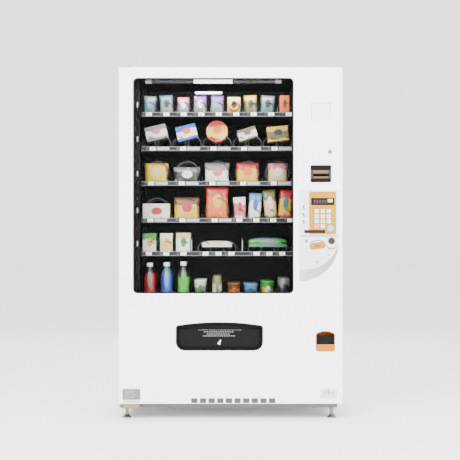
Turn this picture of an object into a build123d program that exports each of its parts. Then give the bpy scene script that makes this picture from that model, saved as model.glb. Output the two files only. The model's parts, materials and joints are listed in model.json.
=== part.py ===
"""Snack vending machine: a glass-fronted coil machine with six trays and a payment column.

Frame: +Z up, front towards -Y, origin at the bottom centre of the bounding box. Millimetres.
"""

import math
import os

from build123d import *

# ---- Overall size ----
WIDTH = 1154.0  # across the cabinet
HEIGHT = 1830.0  # floor to the top sheet
DEPTH = 800.0  # furthest-forward control to the rear spacers
FOOT_CLEAR = 54.0  # floor to the base frame
BASE_RAIL = 31.0  # height of the base rails
DOOR_DEPTH = 84.0
DOOR_GAP = 4.0  # between the door and the cabinet
DOOR_LIFT = 1.5  # door underside above the cabinet underside
DOOR_DROP = 8.0  # door top below the cabinet top, room for the hinge plate
PROUD = 12.0  # the furthest-forward control stands this far off the door sheet
SPACER = 12.0  # rear wall spacers
SHEET = 2.0
SEAM = 0.4  # between neighbouring panels
LOOSE = 0.3  # clearance of a turning or sliding fit, per side

# ---- Chamber and trays ----
LEFT_WALL = 72.0
BAY_WIDTH = 215.0  # payment bay, right of the chamber
PARTITION = 22.0
ROOF_FOAM = 48.0
REAR_FOAM = 46.0
DECK = 35.0  # insulated floor of the chamber
BAY_HEIGHT = 213.0  # machinery bay
TRAY_SIDE = 32.0  # tray to chamber wall
TRAY_FRONT = 138.0  # tray front behind the door sheet
TRAY_REAR = 50.0  # air duct behind the trays
TRAY_SHEET = 1.5
TRAY_WALL = 50.0
RAIL_HEIGHT = 24.0
RAIL_DEPTH = 5.0
LOWEST_TRAY = 588.0
ROW_SHARES = (201.0, 181.0, 183.0, 194.0, 176.0, 257.0)  # rows from the top, sharing the stack's height
LANES = {1: [1] * 9, 2: [1] * 5, 3: [1] * 5, 4: [2, 2, 2, 1, 1, 1, 1], 5: [1, 1, 1, 3, 3], 6: [1] * 9}
DIVIDERS = {1: 36.0, 2: 36.0, 3: 46.0, 4: 46.0, 5: 96.0, 6: 46.0}  # divider height on each tray
PAIRED_WEIGHT = {2: 1, 5: 3}  # lanes of this weight on this tray carry two coils
MOTOR_BAY = 50.0
MOTOR = (34.0, 42.0, 48.0)
WIRE_R = 2.5
COIL_GAP = 7.0  # coil to divider
COIL_LIFT = 3.0  # coil above the tray pan
COIL_LIMIT = 64.0  # largest coil radius
PAIRED_LIMIT = {2: COIL_LIMIT, 5: 36.0}  # largest radius of paired coils, small under low packs
COIL_PITCH = 52.0
HUB_R = 15.0
HUB_LENGTH = 20.0

# ---- Window ----
WINDOW_MARGIN = 74.0  # door's left edge to the window
COLUMN = 252.0  # payment column, right of the window
WINDOW_SILL = 655.0
WINDOW_HEAD = 64.0  # window top below the cabinet top
WINDOW_R = 24.0
TRIM_LIP = 6.0
TRIM_LAND = 16.0
PANE = 4.0
PANE_GAP = 10.0

# ---- Delivery ----
HATCH_MARGIN = 295.0  # door's left edge to the hatch
HATCH_WIDTH = 449.0
HATCH_Z = 361.0
HATCH_SIDE = 128.0  # straight side height, corners included
HATCH_RISE = 18.0  # arch above the sides
HATCH_LOW_R = 45.0
HATCH_TOP_R = 15.0
BEZEL_WALL = 10.0
BEZEL_DEPTH = 48.0
FLAP_GAP = 2.0
FLAP_SHEET = 4.0
FLAP_AXIS_DROP = 37.0  # flap axis below the arch's crown
FLAP_BEHIND = 20.0  # flap axis behind the door sheet
FLAP_PIN_R = 3.0
BIN_FLOOR = 343.0
BIN_SIDE = 18.0  # bin wider than the hatch, each side
BIN_DEPTH = 288.0
BIN_TOP = 560.0
SHALLOW = 36.0  # depth of the door liner where goods fall past it

# ---- Payment column ----
READER_RIGHT = 61.0  # cover's right edge to the door's right edge
READER = (101.0, 95.0)
READER_DROP = 239.5  # centre below the cabinet top
LOCK_RIGHT = 65.0
LOCK_DROP = 445.0
LOCK_R = 9.0
LOCK_FLANGE_R = 11.0
NOTE_RIGHT = 59.0
NOTE = (106.0, 88.0)
NOTE_DROP = 558.0
NOTE_SLOT = (72.0, 6.0)
PLATE_RIGHT = 21.0
PLATE_WIDTH = 200.0
PLATE_TOP = 1186.5
PLATE_HEIGHT = 467.5
PLATE_SHEET = 3.0
PAD_RIGHT = 34.0
PAD = (138.0, 220.0)
PAD_DROP = 6.5  # keypad panel top below the plate top
PAD_SHEET = 2.5
LENS = (120.0, 37.0)
LENS_DROP = 58.0  # lens centre below the plate top
KEY = (21.0, 19.0)
KEY_COLUMNS = (-30.5, 0.0, 30.9)  # from the middle key column
KEY_MIDDLE = 102.5  # middle key column to the door's right edge
KEY_ROWS = (106.5, 133.9, 159.7, 185.5)  # below the plate top
KEY_SHEET = 7.0
KEY_PROUD = 3.5
KEY_TRAVEL = 2.5
KEY_RIM = 1.5
CANCEL_KEY = (27.0, 24.0)
SELECT_R = 17.0
SELECT_RIGHT = 62.0
SELECT_DROP = 195.5
SLOT_RIGHT = 128.5
SLOT_DROP = 285.0
SLOT_BEZEL = (85.0, 34.0)
SLOT_TILT = 8.0
COIN_SLOT = (30.0, 3.6)
LEVER_RIGHT = 57.0
LEVER_DROP = 260.5
LEVER_R = 17.5
CUP_RIGHT = 39.0
CUP_WIDTH = 99.0
CUP_Z = 356.0
CUP_SIDE = 92.0
CUP_RISE = 14.0
CUP_DEPTH = 60.0
CUP_WALL = 3.0
CUP_LIP = 37.0  # front wall above the cup's underside

# ---- Latch ----
LATCH_TRAVEL = 14.0
LATCH_BAR = (12.0, 6.0)
LATCH_X = 30.0  # bar centre to the door's right edge
LATCH_LOW = 420.0
LATCH_TOP = 110.0  # bar top below the cabinet top
LATCH_HOOKS = (80.0, 640.0, 1180.0)  # hook heights above the bar's lower end
HOOK_REACH = 61.0
HOOK_HEIGHT = 10.0
STRIKE_R = 4.0

# ---- Hinge ----
HINGE_IN = 12.0  # hinge axis from the door's side and from its sheet
HINGE_PIN_R = 6.0
HINGE_PLATE = 5.0
HINGE_BLOCK = 34.0

# ---- Vents, base and machinery ----
VENT = (33.0, 25.0)
VENT_COUNT = 10
VENT_PITCH = 44.5
VENT_FIRST = 390.5  # door's left edge to the first vent's centre
VENT_LIFT = 16.0
FOOT_INSET = 28.0
PAD_R = 24.0
STEM_R = 7.5
ANCHOR_X = 900.0
ANCHOR_Y = 560.0
ANCHOR_R = 7.0
BASE_LEFT = 5.0  # base frame in from the cabinet's left side
BASE_RIGHT = 19.0
RAIL_SECTION = 40.0
CONDENSER = (380.0, 50.0, 190.0)
CONDENSER_FAN_R = 84.0
EVAPORATOR = (640.0, 210.0, 200.0)
EVAPORATOR_FAN_R = 84.0
COMPRESSOR_R = 85.0
COMPRESSOR_HEIGHT = 185.0
POWER_BOX = (200.0, 150.0, 165.0)
INLET_R = 14.0

# ---- Places worked out from the sizes ----
X_LEFT, X_RIGHT = -WIDTH / 2, WIDTH / 2
Y_DOOR = -DEPTH / 2 + PROUD
Y_DOOR_BACK = Y_DOOR + DOOR_DEPTH
Y_CABINET = Y_DOOR_BACK + DOOR_GAP
Y_BACK = DEPTH / 2 - SPACER
Z_BODY = FOOT_CLEAR + BASE_RAIL
DOOR_LOW, DOOR_HIGH = Z_BODY + DOOR_LIFT, HEIGHT - DOOR_DROP
CHAMBER_X = (X_LEFT + LEFT_WALL, X_RIGHT - BAY_WIDTH)
CHAMBER_TOP = HEIGHT - SHEET - ROOF_FOAM
CHAMBER_BACK = Y_BACK - SHEET - REAR_FOAM
DECK_TOP = Z_BODY + SHEET + BAY_HEIGHT + DECK
TRAY_X = (CHAMBER_X[0] + TRAY_SIDE, CHAMBER_X[1] - TRAY_SIDE)
TRAY_Y = (Y_DOOR + TRAY_FRONT, CHAMBER_BACK - TRAY_REAR)
MOTOR_WALL = TRAY_Y[1] - MOTOR_BAY
COIL_START = TRAY_Y[0] + WIRE_R + SEAM
COIL_TURNS = round((MOTOR_WALL - HUB_LENGTH - COIL_START) / COIL_PITCH - 0.5)
COIL_LENGTH = COIL_TURNS * COIL_PITCH
WINDOW_X = (X_LEFT + WINDOW_MARGIN, X_RIGHT - COLUMN)
WINDOW_Z = (WINDOW_SILL, HEIGHT - WINDOW_HEAD)
HATCH_X = (X_LEFT + HATCH_MARGIN, X_LEFT + HATCH_MARGIN + HATCH_WIDTH)
HATCH_TOP = HATCH_Z + HATCH_SIDE + HATCH_RISE
FLAP_AXIS = (Y_DOOR + FLAP_BEHIND, HATCH_TOP - FLAP_AXIS_DROP)
CUP_X = (X_RIGHT - CUP_RIGHT - CUP_WIDTH, X_RIGHT - CUP_RIGHT)
CUP_FLAP_AXIS = (Y_DOOR + 8.0, CUP_Z + CUP_SIDE - 12.0)
LOCK = (X_RIGHT - LOCK_RIGHT, HEIGHT - LOCK_DROP)
CAM_R = LATCH_TRAVEL / math.sqrt(2)
LATCH_Y = (Y_DOOR + 49.0, Y_DOOR + 49.0 + LATCH_BAR[1])
LEVER = (X_RIGHT - LEVER_RIGHT, PLATE_TOP - LEVER_DROP)
HINGE = (X_LEFT + HINGE_IN, Y_DOOR + HINGE_IN)
BASE_X = (X_LEFT + BASE_LEFT, X_RIGHT - BASE_RIGHT)
BASE_Y = (Y_CABINET + 2.0, Y_BACK - 2.0)
PLATE_FRONT = Y_DOOR - PLATE_SHEET
PAD_FRONT = PLATE_FRONT - PAD_SHEET
FAN_Y = Y_CABINET + 140.0
FAN_X = X_LEFT + VENT_FIRST + VENT_PITCH * (VENT_COUNT - 1) / 2
FAN_Z = Z_BODY + SHEET + 105.0
EVAPORATOR_X = (CHAMBER_X[0] + CHAMBER_X[1]) / 2
EVAPORATOR_Y = CHAMBER_BACK - 45.0 - EVAPORATOR[1]
EVAPORATOR_Z = DECK_TOP + 10.0
EVAPORATOR_FAN_Y = EVAPORATOR_Y - 24.0


def facing(y):
    """The plane at depth y that looks to the front: sketch x is X, sketch y is Z."""
    return Plane.XZ.offset(-y)


def slab(x, y, z, mode=Mode.ADD):
    """Add a box given as (low, high) pairs along X, Y and Z."""
    with Locations(((x[0] + x[1]) / 2, (y[0] + y[1]) / 2, (z[0] + z[1]) / 2)):
        Box(x[1] - x[0], y[1] - y[0], z[1] - z[0], mode=mode)


def rod_y(x, z, radius, y, mode=Mode.ADD):
    """Add a cylinder along Y from y[0] to y[1]."""
    with Locations((x, (y[0] + y[1]) / 2, z)):
        Cylinder(radius, y[1] - y[0], rotation=(90, 0, 0), mode=mode)


def rod_x(y, z, radius, x, mode=Mode.ADD):
    """Add a cylinder along X from x[0] to x[1]."""
    with Locations(((x[0] + x[1]) / 2, y, z)):
        Cylinder(radius, x[1] - x[0], rotation=(0, 90, 0), mode=mode)


def rod_z(x, y, radius, z, mode=Mode.ADD):
    """Add a cylinder along Z from z[0] to z[1]."""
    with Locations((x, y, (z[0] + z[1]) / 2)):
        Cylinder(radius, z[1] - z[0], mode=mode)


def span(centre, size):
    """The (low, high) pair of a length about its centre."""
    return (centre - size / 2, centre + size / 2)


def plate_prism(points, x, mode=Mode.ADD):
    """Extrude a closed (y, z) outline from x[0] to x[1]."""
    with BuildSketch(Plane.YZ.offset(x[0])) as outline:
        with BuildLine():
            Polyline(*points, close=True)
        make_face()
    extrude(outline.sketch, amount=x[1] - x[0], mode=mode)


def arched_outline(x, low, side, rise, low_r, top_r):
    """Sketch a hatch outline: straight bottom and sides, arched top, rounded corners."""
    with BuildSketch() as outline:
        with BuildLine():
            Polyline((x[0], low + side), (x[0], low), (x[1], low), (x[1], low + side))
            ThreePointArc((x[1], low + side), ((x[0] + x[1]) / 2, low + side + rise), (x[0], low + side))
        make_face()
        fillet(outline.vertices().sort_by(Axis.Y)[:2], low_r)
        fillet(outline.vertices().sort_by(Axis.Y)[-2:], top_r)
    return outline.sketch


def window_outline(inset, radius):
    """Sketch the window's rounded rectangle, made smaller by inset on each side."""
    width = WINDOW_X[1] - WINDOW_X[0] - 2 * inset
    height = WINDOW_Z[1] - WINDOW_Z[0] - 2 * inset
    with BuildSketch() as outline:
        with Locations((sum(WINDOW_X) / 2, sum(WINDOW_Z) / 2)):
            RectangleRounded(width, height, radius)
    return outline.sketch


def write(built, name):
    """Label one finished piece and write its STEP file."""
    built.part.label = name
    export_step(built.part, f"parts/{name}.step")


os.makedirs("parts", exist_ok=True)


# ================= Cabinet =================

INNER_X = (X_LEFT + SHEET + SEAM, X_RIGHT - SHEET - SEAM)

# Outer sheets, rear spacers and the studs that the latch hooks behind
with BuildPart() as cabinet_shell:
    slab((X_LEFT, X_LEFT + SHEET), (Y_CABINET, Y_BACK), (Z_BODY, HEIGHT))
    slab((X_RIGHT - SHEET, X_RIGHT), (Y_CABINET, Y_BACK), (Z_BODY, HEIGHT))
    slab(INNER_X, (Y_CABINET, Y_BACK), (HEIGHT - SHEET, HEIGHT))
    slab(INNER_X, (Y_CABINET, Y_BACK), (Z_BODY, Z_BODY + SHEET))
    slab(INNER_X, (Y_BACK - SHEET, Y_BACK), (Z_BODY + SHEET + SEAM, HEIGHT - SHEET - SEAM))
    with BuildSketch(Plane.XZ.offset(-Y_BACK)):
        with Locations((X_LEFT + WIDTH * 0.4, Z_BODY + BAY_HEIGHT / 2)):
            with GridLocations(60, 20, 8, 6):
                SlotOverall(46, 8)
    extrude(amount=SHEET, mode=Mode.SUBTRACT)
    rod_y(X_RIGHT - 110.0, Z_BODY + 60.0, INLET_R + 2.0, (Y_BACK - SHEET, Y_BACK), mode=Mode.SUBTRACT)
    for x in (X_LEFT + WIDTH / 4, X_RIGHT - WIDTH / 4):
        slab(span(x, 60.0), (Y_BACK + SEAM, Y_BACK + SPACER), span(HEIGHT - 160.0, 40.0))
    for hook in LATCH_HOOKS:
        strike_z = LATCH_LOW + hook - LATCH_TRAVEL - STRIKE_R - 2.0
        rod_x(Y_CABINET + 10.0, strike_z, STRIKE_R, (X_RIGHT - LATCH_X - 8.0, X_RIGHT - SHEET - SEAM))
write(cabinet_shell, "cabinet_shell")

# Foam-filled walls of the cooled chamber
FOAM_Y = (Y_CABINET, Y_BACK - SHEET - SEAM)
FOAM_Z = (DECK_TOP + SEAM, CHAMBER_TOP - SEAM)
with BuildPart() as cabinet_liner:
    slab((INNER_X[0], CHAMBER_X[0]), FOAM_Y, FOAM_Z)
    slab((CHAMBER_X[1], CHAMBER_X[1] + PARTITION), FOAM_Y, FOAM_Z)
    slab((INNER_X[0], CHAMBER_X[1] + PARTITION), FOAM_Y, (CHAMBER_TOP, HEIGHT - SHEET - SEAM))
    slab(INNER_X, FOAM_Y, (DECK_TOP - DECK, DECK_TOP))
    slab((CHAMBER_X[0] + SEAM, CHAMBER_X[1] - SEAM), (CHAMBER_BACK, FOAM_Y[1]), FOAM_Z)
write(cabinet_liner, "cabinet_liner")

# Four channel rails with a foot hole at each end, and anchor plates between them
FEET = [(x, y) for x in (BASE_X[0] + FOOT_INSET, BASE_X[1] - FOOT_INSET)
        for y in (BASE_Y[0] + RAIL_SECTION / 2, BASE_Y[1] - RAIL_SECTION / 2)]
BASE_MIDDLE = (sum(BASE_X) / 2, sum(BASE_Y) / 2)
RAIL_Z = (FOOT_CLEAR, Z_BODY)
RAIL_WALL = 3.0
with BuildPart() as base_frame:
    for low, web in ((BASE_Y[0], RAIL_WALL), (BASE_Y[1] - RAIL_SECTION, 0.0)):
        slab(BASE_X, (low, low + RAIL_SECTION), RAIL_Z)
        hollow = (low + web, low + web + RAIL_SECTION - RAIL_WALL)
        slab(BASE_X, hollow, (RAIL_Z[0] + RAIL_WALL, RAIL_Z[1] - RAIL_WALL), mode=Mode.SUBTRACT)
    between = (BASE_Y[0] + RAIL_SECTION + SEAM, BASE_Y[1] - RAIL_SECTION - SEAM)
    for low in (BASE_X[0], BASE_X[1] - RAIL_SECTION):
        slab((low, low + RAIL_SECTION), between, RAIL_Z)
    for x, y in FEET:
        rod_z(x, y, STEM_R + LOOSE, RAIL_Z, mode=Mode.SUBTRACT)
    for x in span(BASE_MIDDLE[0], ANCHOR_X):
        for y in span(BASE_MIDDLE[1], ANCHOR_Y):
            slab(span(x, 60.0), span(y, 60.0), (RAIL_Z[0], RAIL_Z[0] + 4.0))
            rod_z(x, y, ANCHOR_R, (RAIL_Z[0] - 1.0, RAIL_Z[0] + 5.0), mode=Mode.SUBTRACT)
write(base_frame, "base_frame")

# Levelling feet: conical pad, threaded stem and lock nut
with BuildPart() as foot:
    with BuildSketch(Plane.XZ):
        with BuildLine():
            Polyline(
                (0, 0), (PAD_R, 0), (PAD_R, 4), (STEM_R + 3, 17), (STEM_R + 3, 22), (STEM_R, 22),
                (STEM_R, Z_BODY - 5), (0, Z_BODY - 5), close=True,
            )
        make_face()
    revolve(axis=Axis.Z)
    with BuildSketch(Plane.XY.offset(FOOT_CLEAR - 10.5)):
        RegularPolygon(13, 6)
    extrude(amount=10.0)
with BuildPart() as levelling_feet:
    with Locations(*[(x, y, 0) for x, y in FEET]):
        add(foot.part)
write(levelling_feet, "levelling_feet")

# Lower and upper hinge plates, each with a fixed pin along the hinge axis
PLATE_LOW_Z = (DOOR_LOW - 2.0 - HINGE_PLATE, DOOR_LOW - 2.0)
PLATE_TOP_Z = (DOOR_HIGH + 2.0, DOOR_HIGH + 2.0 + HINGE_PLATE)
HINGE_REACH = Y_CABINET - HINGE[1] + HINGE_IN
with BuildPart() as hinge_brackets:
    with BuildSketch(Plane.XY.offset(PLATE_LOW_Z[0])):
        with BuildLine():
            Polyline(
                (BASE_X[0], Y_CABINET), (BASE_X[0], Y_CABINET - HINGE_REACH),
                (BASE_X[0] + 34.0, Y_CABINET - HINGE_REACH), (BASE_X[0] + 95.0, Y_CABINET - 24.0),
                (BASE_X[0] + 95.0, Y_CABINET), close=True,
            )
        make_face()
    extrude(amount=HINGE_PLATE)
    slab((BASE_X[0], BASE_X[0] + 95.0), (Y_CABINET - 6.0, Y_CABINET), (FOOT_CLEAR - 2.0, PLATE_LOW_Z[0]))
    plate_prism(
        ((Y_CABINET - 6.0, FOOT_CLEAR - 2.0), (Y_CABINET - HINGE_REACH, PLATE_LOW_Z[0] - 8.0),
         (Y_CABINET - HINGE_REACH, PLATE_LOW_Z[0]), (Y_CABINET - 6.0, PLATE_LOW_Z[0])),
        (BASE_X[0], BASE_X[0] + 5.0),
    )
    rod_z(HINGE[0], HINGE[1], HINGE_PIN_R, (PLATE_LOW_Z[1], PLATE_LOW_Z[1] + 30.0))
    slab((X_LEFT + 2.0, X_LEFT + 62.0), (Y_DOOR + 1.0, Y_CABINET - SEAM), PLATE_TOP_Z)
    rod_z(HINGE[0], HINGE[1], HINGE_PIN_R, (PLATE_TOP_Z[0] - 30.0, PLATE_TOP_Z[0]))
write(hinge_brackets, "hinge_brackets")

# Tray heights: the rows share the stack between the lowest tray and the chamber roof
STACK = CHAMBER_TOP - LOWEST_TRAY
TRAY_Z = {}
level = CHAMBER_TOP
for number, share in enumerate(ROW_SHARES, start=1):
    level -= STACK * share / sum(ROW_SHARES)
    TRAY_Z[number] = level

# Perforated uprights and the angles that carry the trays
UPRIGHT_Y = (TRAY_Y[0] + 20.0, TRAY_Y[1] - 70.0)
UPRIGHT_DEPTH = 30.0
UPRIGHT_Z = (LOWEST_TRAY - 20.0, CHAMBER_TOP - SEAM)
with BuildPart() as tray_runners:
    uprights_x = ((CHAMBER_X[0] + 2.0, TRAY_X[0] - 7.0), (TRAY_X[1] + 7.0, CHAMBER_X[1] - 2.0))
    for x in uprights_x:
        for y in UPRIGHT_Y:
            slab(x, (y, y + UPRIGHT_DEPTH), UPRIGHT_Z)
        with BuildSketch(facing(UPRIGHT_Y[0])):
            with Locations((sum(x) / 2, sum(UPRIGHT_Z) / 2)):
                with GridLocations(0, 30, 1, int((UPRIGHT_Z[1] - UPRIGHT_Z[0]) / 30) - 1):
                    SlotOverall(14, 7)
        extrude(amount=-4.0, mode=Mode.SUBTRACT)
    for z in TRAY_Z.values():
        for x in ((TRAY_X[0] - 6.6, TRAY_X[0] + 12.0), (TRAY_X[1] - 12.0, TRAY_X[1] + 6.6)):
            slab(x, (UPRIGHT_Y[0], UPRIGHT_Y[1] + UPRIGHT_DEPTH), (z - 3.0 - LOOSE, z - LOOSE))
write(tray_runners, "tray_runners")

# Delivery bin: floor, back wall and two sloping sides
BIN_X = (HATCH_X[0] - BIN_SIDE, HATCH_X[1] + BIN_SIDE)
BIN_Y = (Y_CABINET + 2.0, Y_CABINET + BIN_DEPTH)
BIN_WIDE = (CHAMBER_X[0] + 4.0, CHAMBER_X[1] - 4.0)
with BuildPart() as delivery_bin:
    slab(BIN_X, BIN_Y, (BIN_FLOOR - 3.0, BIN_FLOOR))
    slab(BIN_WIDE, (BIN_Y[1] + SEAM, BIN_Y[1] + 3.0), (DECK_TOP + SEAM, BIN_TOP))
    for low, high in zip(BIN_X, BIN_WIDE):
        lean = 3.0 if high < low else -3.0
        with BuildSketch(facing(BIN_Y[0])):
            with BuildLine():
                Polyline(
                    (low - lean, BIN_FLOOR), (high, BIN_TOP), (high + lean, BIN_TOP), (low, BIN_FLOOR + 0.5),
                    close=True,
                )
            make_face()
        extrude(amount=BIN_Y[0] - BIN_Y[1])
    for x in BIN_X:
        slab(span(x, 3.0), BIN_Y, (DECK_TOP + SEAM, BIN_FLOOR - 3.0 - SEAM))
write(delivery_bin, "delivery_bin")

# Hermetic compressor on its mounting plate
COMPRESSOR_AT = (X_LEFT + 190.0, Y_BACK - 170.0)
SOLE_Z = Z_BODY + SHEET + 12.0
with BuildPart() as compressor:
    rod_z(*COMPRESSOR_AT, COMPRESSOR_R, (SOLE_Z + 4.0, SOLE_Z + COMPRESSOR_HEIGHT))
    fillet(compressor.faces().sort_by(Axis.Z)[-1].edges(), COMPRESSOR_R / 2)
    slab(span(COMPRESSOR_AT[0], 220.0), span(COMPRESSOR_AT[1], 180.0), (SOLE_Z, SOLE_Z + 3.6))
    for x in span(COMPRESSOR_AT[0], 180.0):
        for y in span(COMPRESSOR_AT[1], 140.0):
            rod_z(x, y, 14.0, (Z_BODY + SHEET, SOLE_Z - SEAM))
write(compressor, "compressor")

# Condenser: fin block between end plates, with the fan's shroud ring behind it
CONDENSER_X = span(FAN_X, CONDENSER[0])
CONDENSER_Y = (Y_CABINET + 40.0, Y_CABINET + 40.0 + CONDENSER[1])
CONDENSER_Z = span(FAN_Z, CONDENSER[2])
with BuildPart() as condenser:
    slab(CONDENSER_X, CONDENSER_Y, CONDENSER_Z)
    for x in ((CONDENSER_X[0] - 4.0, CONDENSER_X[0] - SEAM), (CONDENSER_X[1] + SEAM, CONDENSER_X[1] + 4.0)):
        slab(x, CONDENSER_Y, (Z_BODY + SHEET, CONDENSER_Z[1]))
    with BuildSketch(facing(CONDENSER_Y[1] + SEAM)):
        with Locations((FAN_X, FAN_Z)):
            Rectangle(CONDENSER[0], CONDENSER[2])
            Circle(CONDENSER_FAN_R + 4.0, mode=Mode.SUBTRACT)
    extrude(amount=-(FAN_Y - CONDENSER_Y[1]))
write(condenser, "condenser")


def fan(x, y, z, radius):
    """Build an axial fan about an axis along Y: hub, five pitched blades and a motor boss."""
    with BuildPart() as wheel:
        for turn in range(5):
            with Locations(Location((x, y, z), (0, turn * 72.0, 0))):
                with Locations(Location((radius * 0.6, 0, 0), (28, 0, 0))):
                    Box(radius * 0.72, 3.0, radius * 0.5)
        rod_y(x, z, radius * 0.28, (y - 9, y + 10))
        with BuildSketch(facing(y - 60)) as around:
            with Locations((x, z)):
                Circle(radius * 2)
                Circle(radius, mode=Mode.SUBTRACT)
        extrude(around.sketch, amount=-120, mode=Mode.SUBTRACT)
    return wheel


condenser_fan = fan(FAN_X, FAN_Y, FAN_Z, CONDENSER_FAN_R)
write(condenser_fan, "condenser_fan")

# Evaporator behind the delivery bin, with its own fan
EVAPORATOR_FAN_Z = EVAPORATOR_Z + EVAPORATOR[2] / 2
with BuildPart() as evaporator:
    slab(
        span(EVAPORATOR_X, EVAPORATOR[0]), (EVAPORATOR_Y, EVAPORATOR_Y + EVAPORATOR[1]),
        (EVAPORATOR_Z, EVAPORATOR_Z + EVAPORATOR[2]),
    )
    end_plate_z = (DECK_TOP + SEAM, EVAPORATOR_Z + EVAPORATOR[2])
    for side in span(EVAPORATOR_X, EVAPORATOR[0] + 6.0):
        slab(span(side, 3.0), (EVAPORATOR_Y, EVAPORATOR_Y + EVAPORATOR[1]), end_plate_z)
write(evaporator, "evaporator")

evaporator_fan = fan(EVAPORATOR_X, EVAPORATOR_FAN_Y, EVAPORATOR_FAN_Z, EVAPORATOR_FAN_R)
write(evaporator_fan, "evaporator_fan")

# Power box with the gland of the supply cord through the rear sheet
POWER_X = (X_RIGHT - 40.0 - POWER_BOX[0], X_RIGHT - 40.0)
POWER_Y = (Y_BACK - 20.0 - POWER_BOX[1], Y_BACK - 20.0)
with BuildPart() as power_box:
    slab(POWER_X, POWER_Y, (Z_BODY + SHEET + SEAM, Z_BODY + SHEET + POWER_BOX[2]))
    rod_y(X_RIGHT - 110.0, Z_BODY + 60.0, INLET_R, (POWER_Y[1], Y_BACK + SPACER / 2))
    rod_y(X_RIGHT - 110.0, Z_BODY + 60.0, INLET_R - 6.0, (Y_BACK - 14.0, Y_BACK + SPACER), mode=Mode.SUBTRACT)
write(power_box, "power_box")


# ================= Door =================

SKIN_BACK = Y_DOOR + SHEET
LINER_Y = (SKIN_BACK + SEAM, Y_DOOR_BACK)
SHALLOW_Y = (SKIN_BACK + SEAM, Y_DOOR + SHALLOW)
HATCH = arched_outline(HATCH_X, HATCH_Z, HATCH_SIDE, HATCH_RISE, HATCH_LOW_R, HATCH_TOP_R)
CUP = arched_outline(CUP_X, CUP_Z, CUP_SIDE, CUP_RISE, 14.0, 14.0)
READER_AT = (X_RIGHT - READER_RIGHT - READER[0] / 2, HEIGHT - READER_DROP)
NOTE_AT = (X_RIGHT - NOTE_RIGHT - NOTE[0] / 2, HEIGHT - NOTE_DROP)
PAD_AT = (X_RIGHT - PAD_RIGHT - PAD[0] / 2, PLATE_TOP - PAD_DROP - PAD[1] / 2)
LENS_AT = (X_RIGHT - KEY_MIDDLE, PLATE_TOP - LENS_DROP)
SLOT_AT = (X_RIGHT - SLOT_RIGHT, PLATE_TOP - SLOT_DROP)
SELECT_AT = (X_RIGHT - SELECT_RIGHT, PLATE_TOP - SELECT_DROP)

# Folded door sheet with every opening in its front
with BuildPart() as door_skin:
    slab((X_LEFT, X_RIGHT), (Y_DOOR, Y_DOOR_BACK), (DOOR_LOW, DOOR_HIGH))
    fillet(door_skin.faces().sort_by(Axis.Y)[0].edges(), SHEET * 1.5)
    slab(
        (X_LEFT + SHEET, X_RIGHT - SHEET), (SKIN_BACK, Y_DOOR_BACK), (DOOR_LOW + SHEET, DOOR_HIGH - SHEET),
        mode=Mode.SUBTRACT,
    )
    with BuildSketch(facing(Y_DOOR)):
        add(window_outline(0.0, WINDOW_R))
        add(HATCH)
        add(CUP)
        with Locations(READER_AT):
            Rectangle(*READER)
        with Locations(NOTE_AT):
            Rectangle(NOTE[0] - 6.0, NOTE[1] - 6.0)
        with Locations(PAD_AT):
            Rectangle(PAD[0] - 8.0, PAD[1] - 8.0)
        with Locations(SLOT_AT):
            Rectangle(SLOT_BEZEL[0] - 16.0, SLOT_BEZEL[1] - 8.0)
        with Locations(LEVER):
            Circle(LEVER_R - 6.0)
        with Locations(LOCK):
            Circle(LOCK_R + LOOSE)
        with Locations((FAN_X, DOOR_LOW + VENT_LIFT)):
            with GridLocations(VENT_PITCH, 0, VENT_COUNT, 1):
                RectangleRounded(*VENT, 2.0)
    extrude(amount=-SHEET, mode=Mode.SUBTRACT)
    rod_z(*HINGE, HINGE_PIN_R + LOOSE, (DOOR_LOW, DOOR_LOW + SHEET), mode=Mode.SUBTRACT)
    rod_z(*HINGE, HINGE_PIN_R + LOOSE, (DOOR_HIGH - SHEET, DOOR_HIGH), mode=Mode.SUBTRACT)
write(door_skin, "door_skin")

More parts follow.
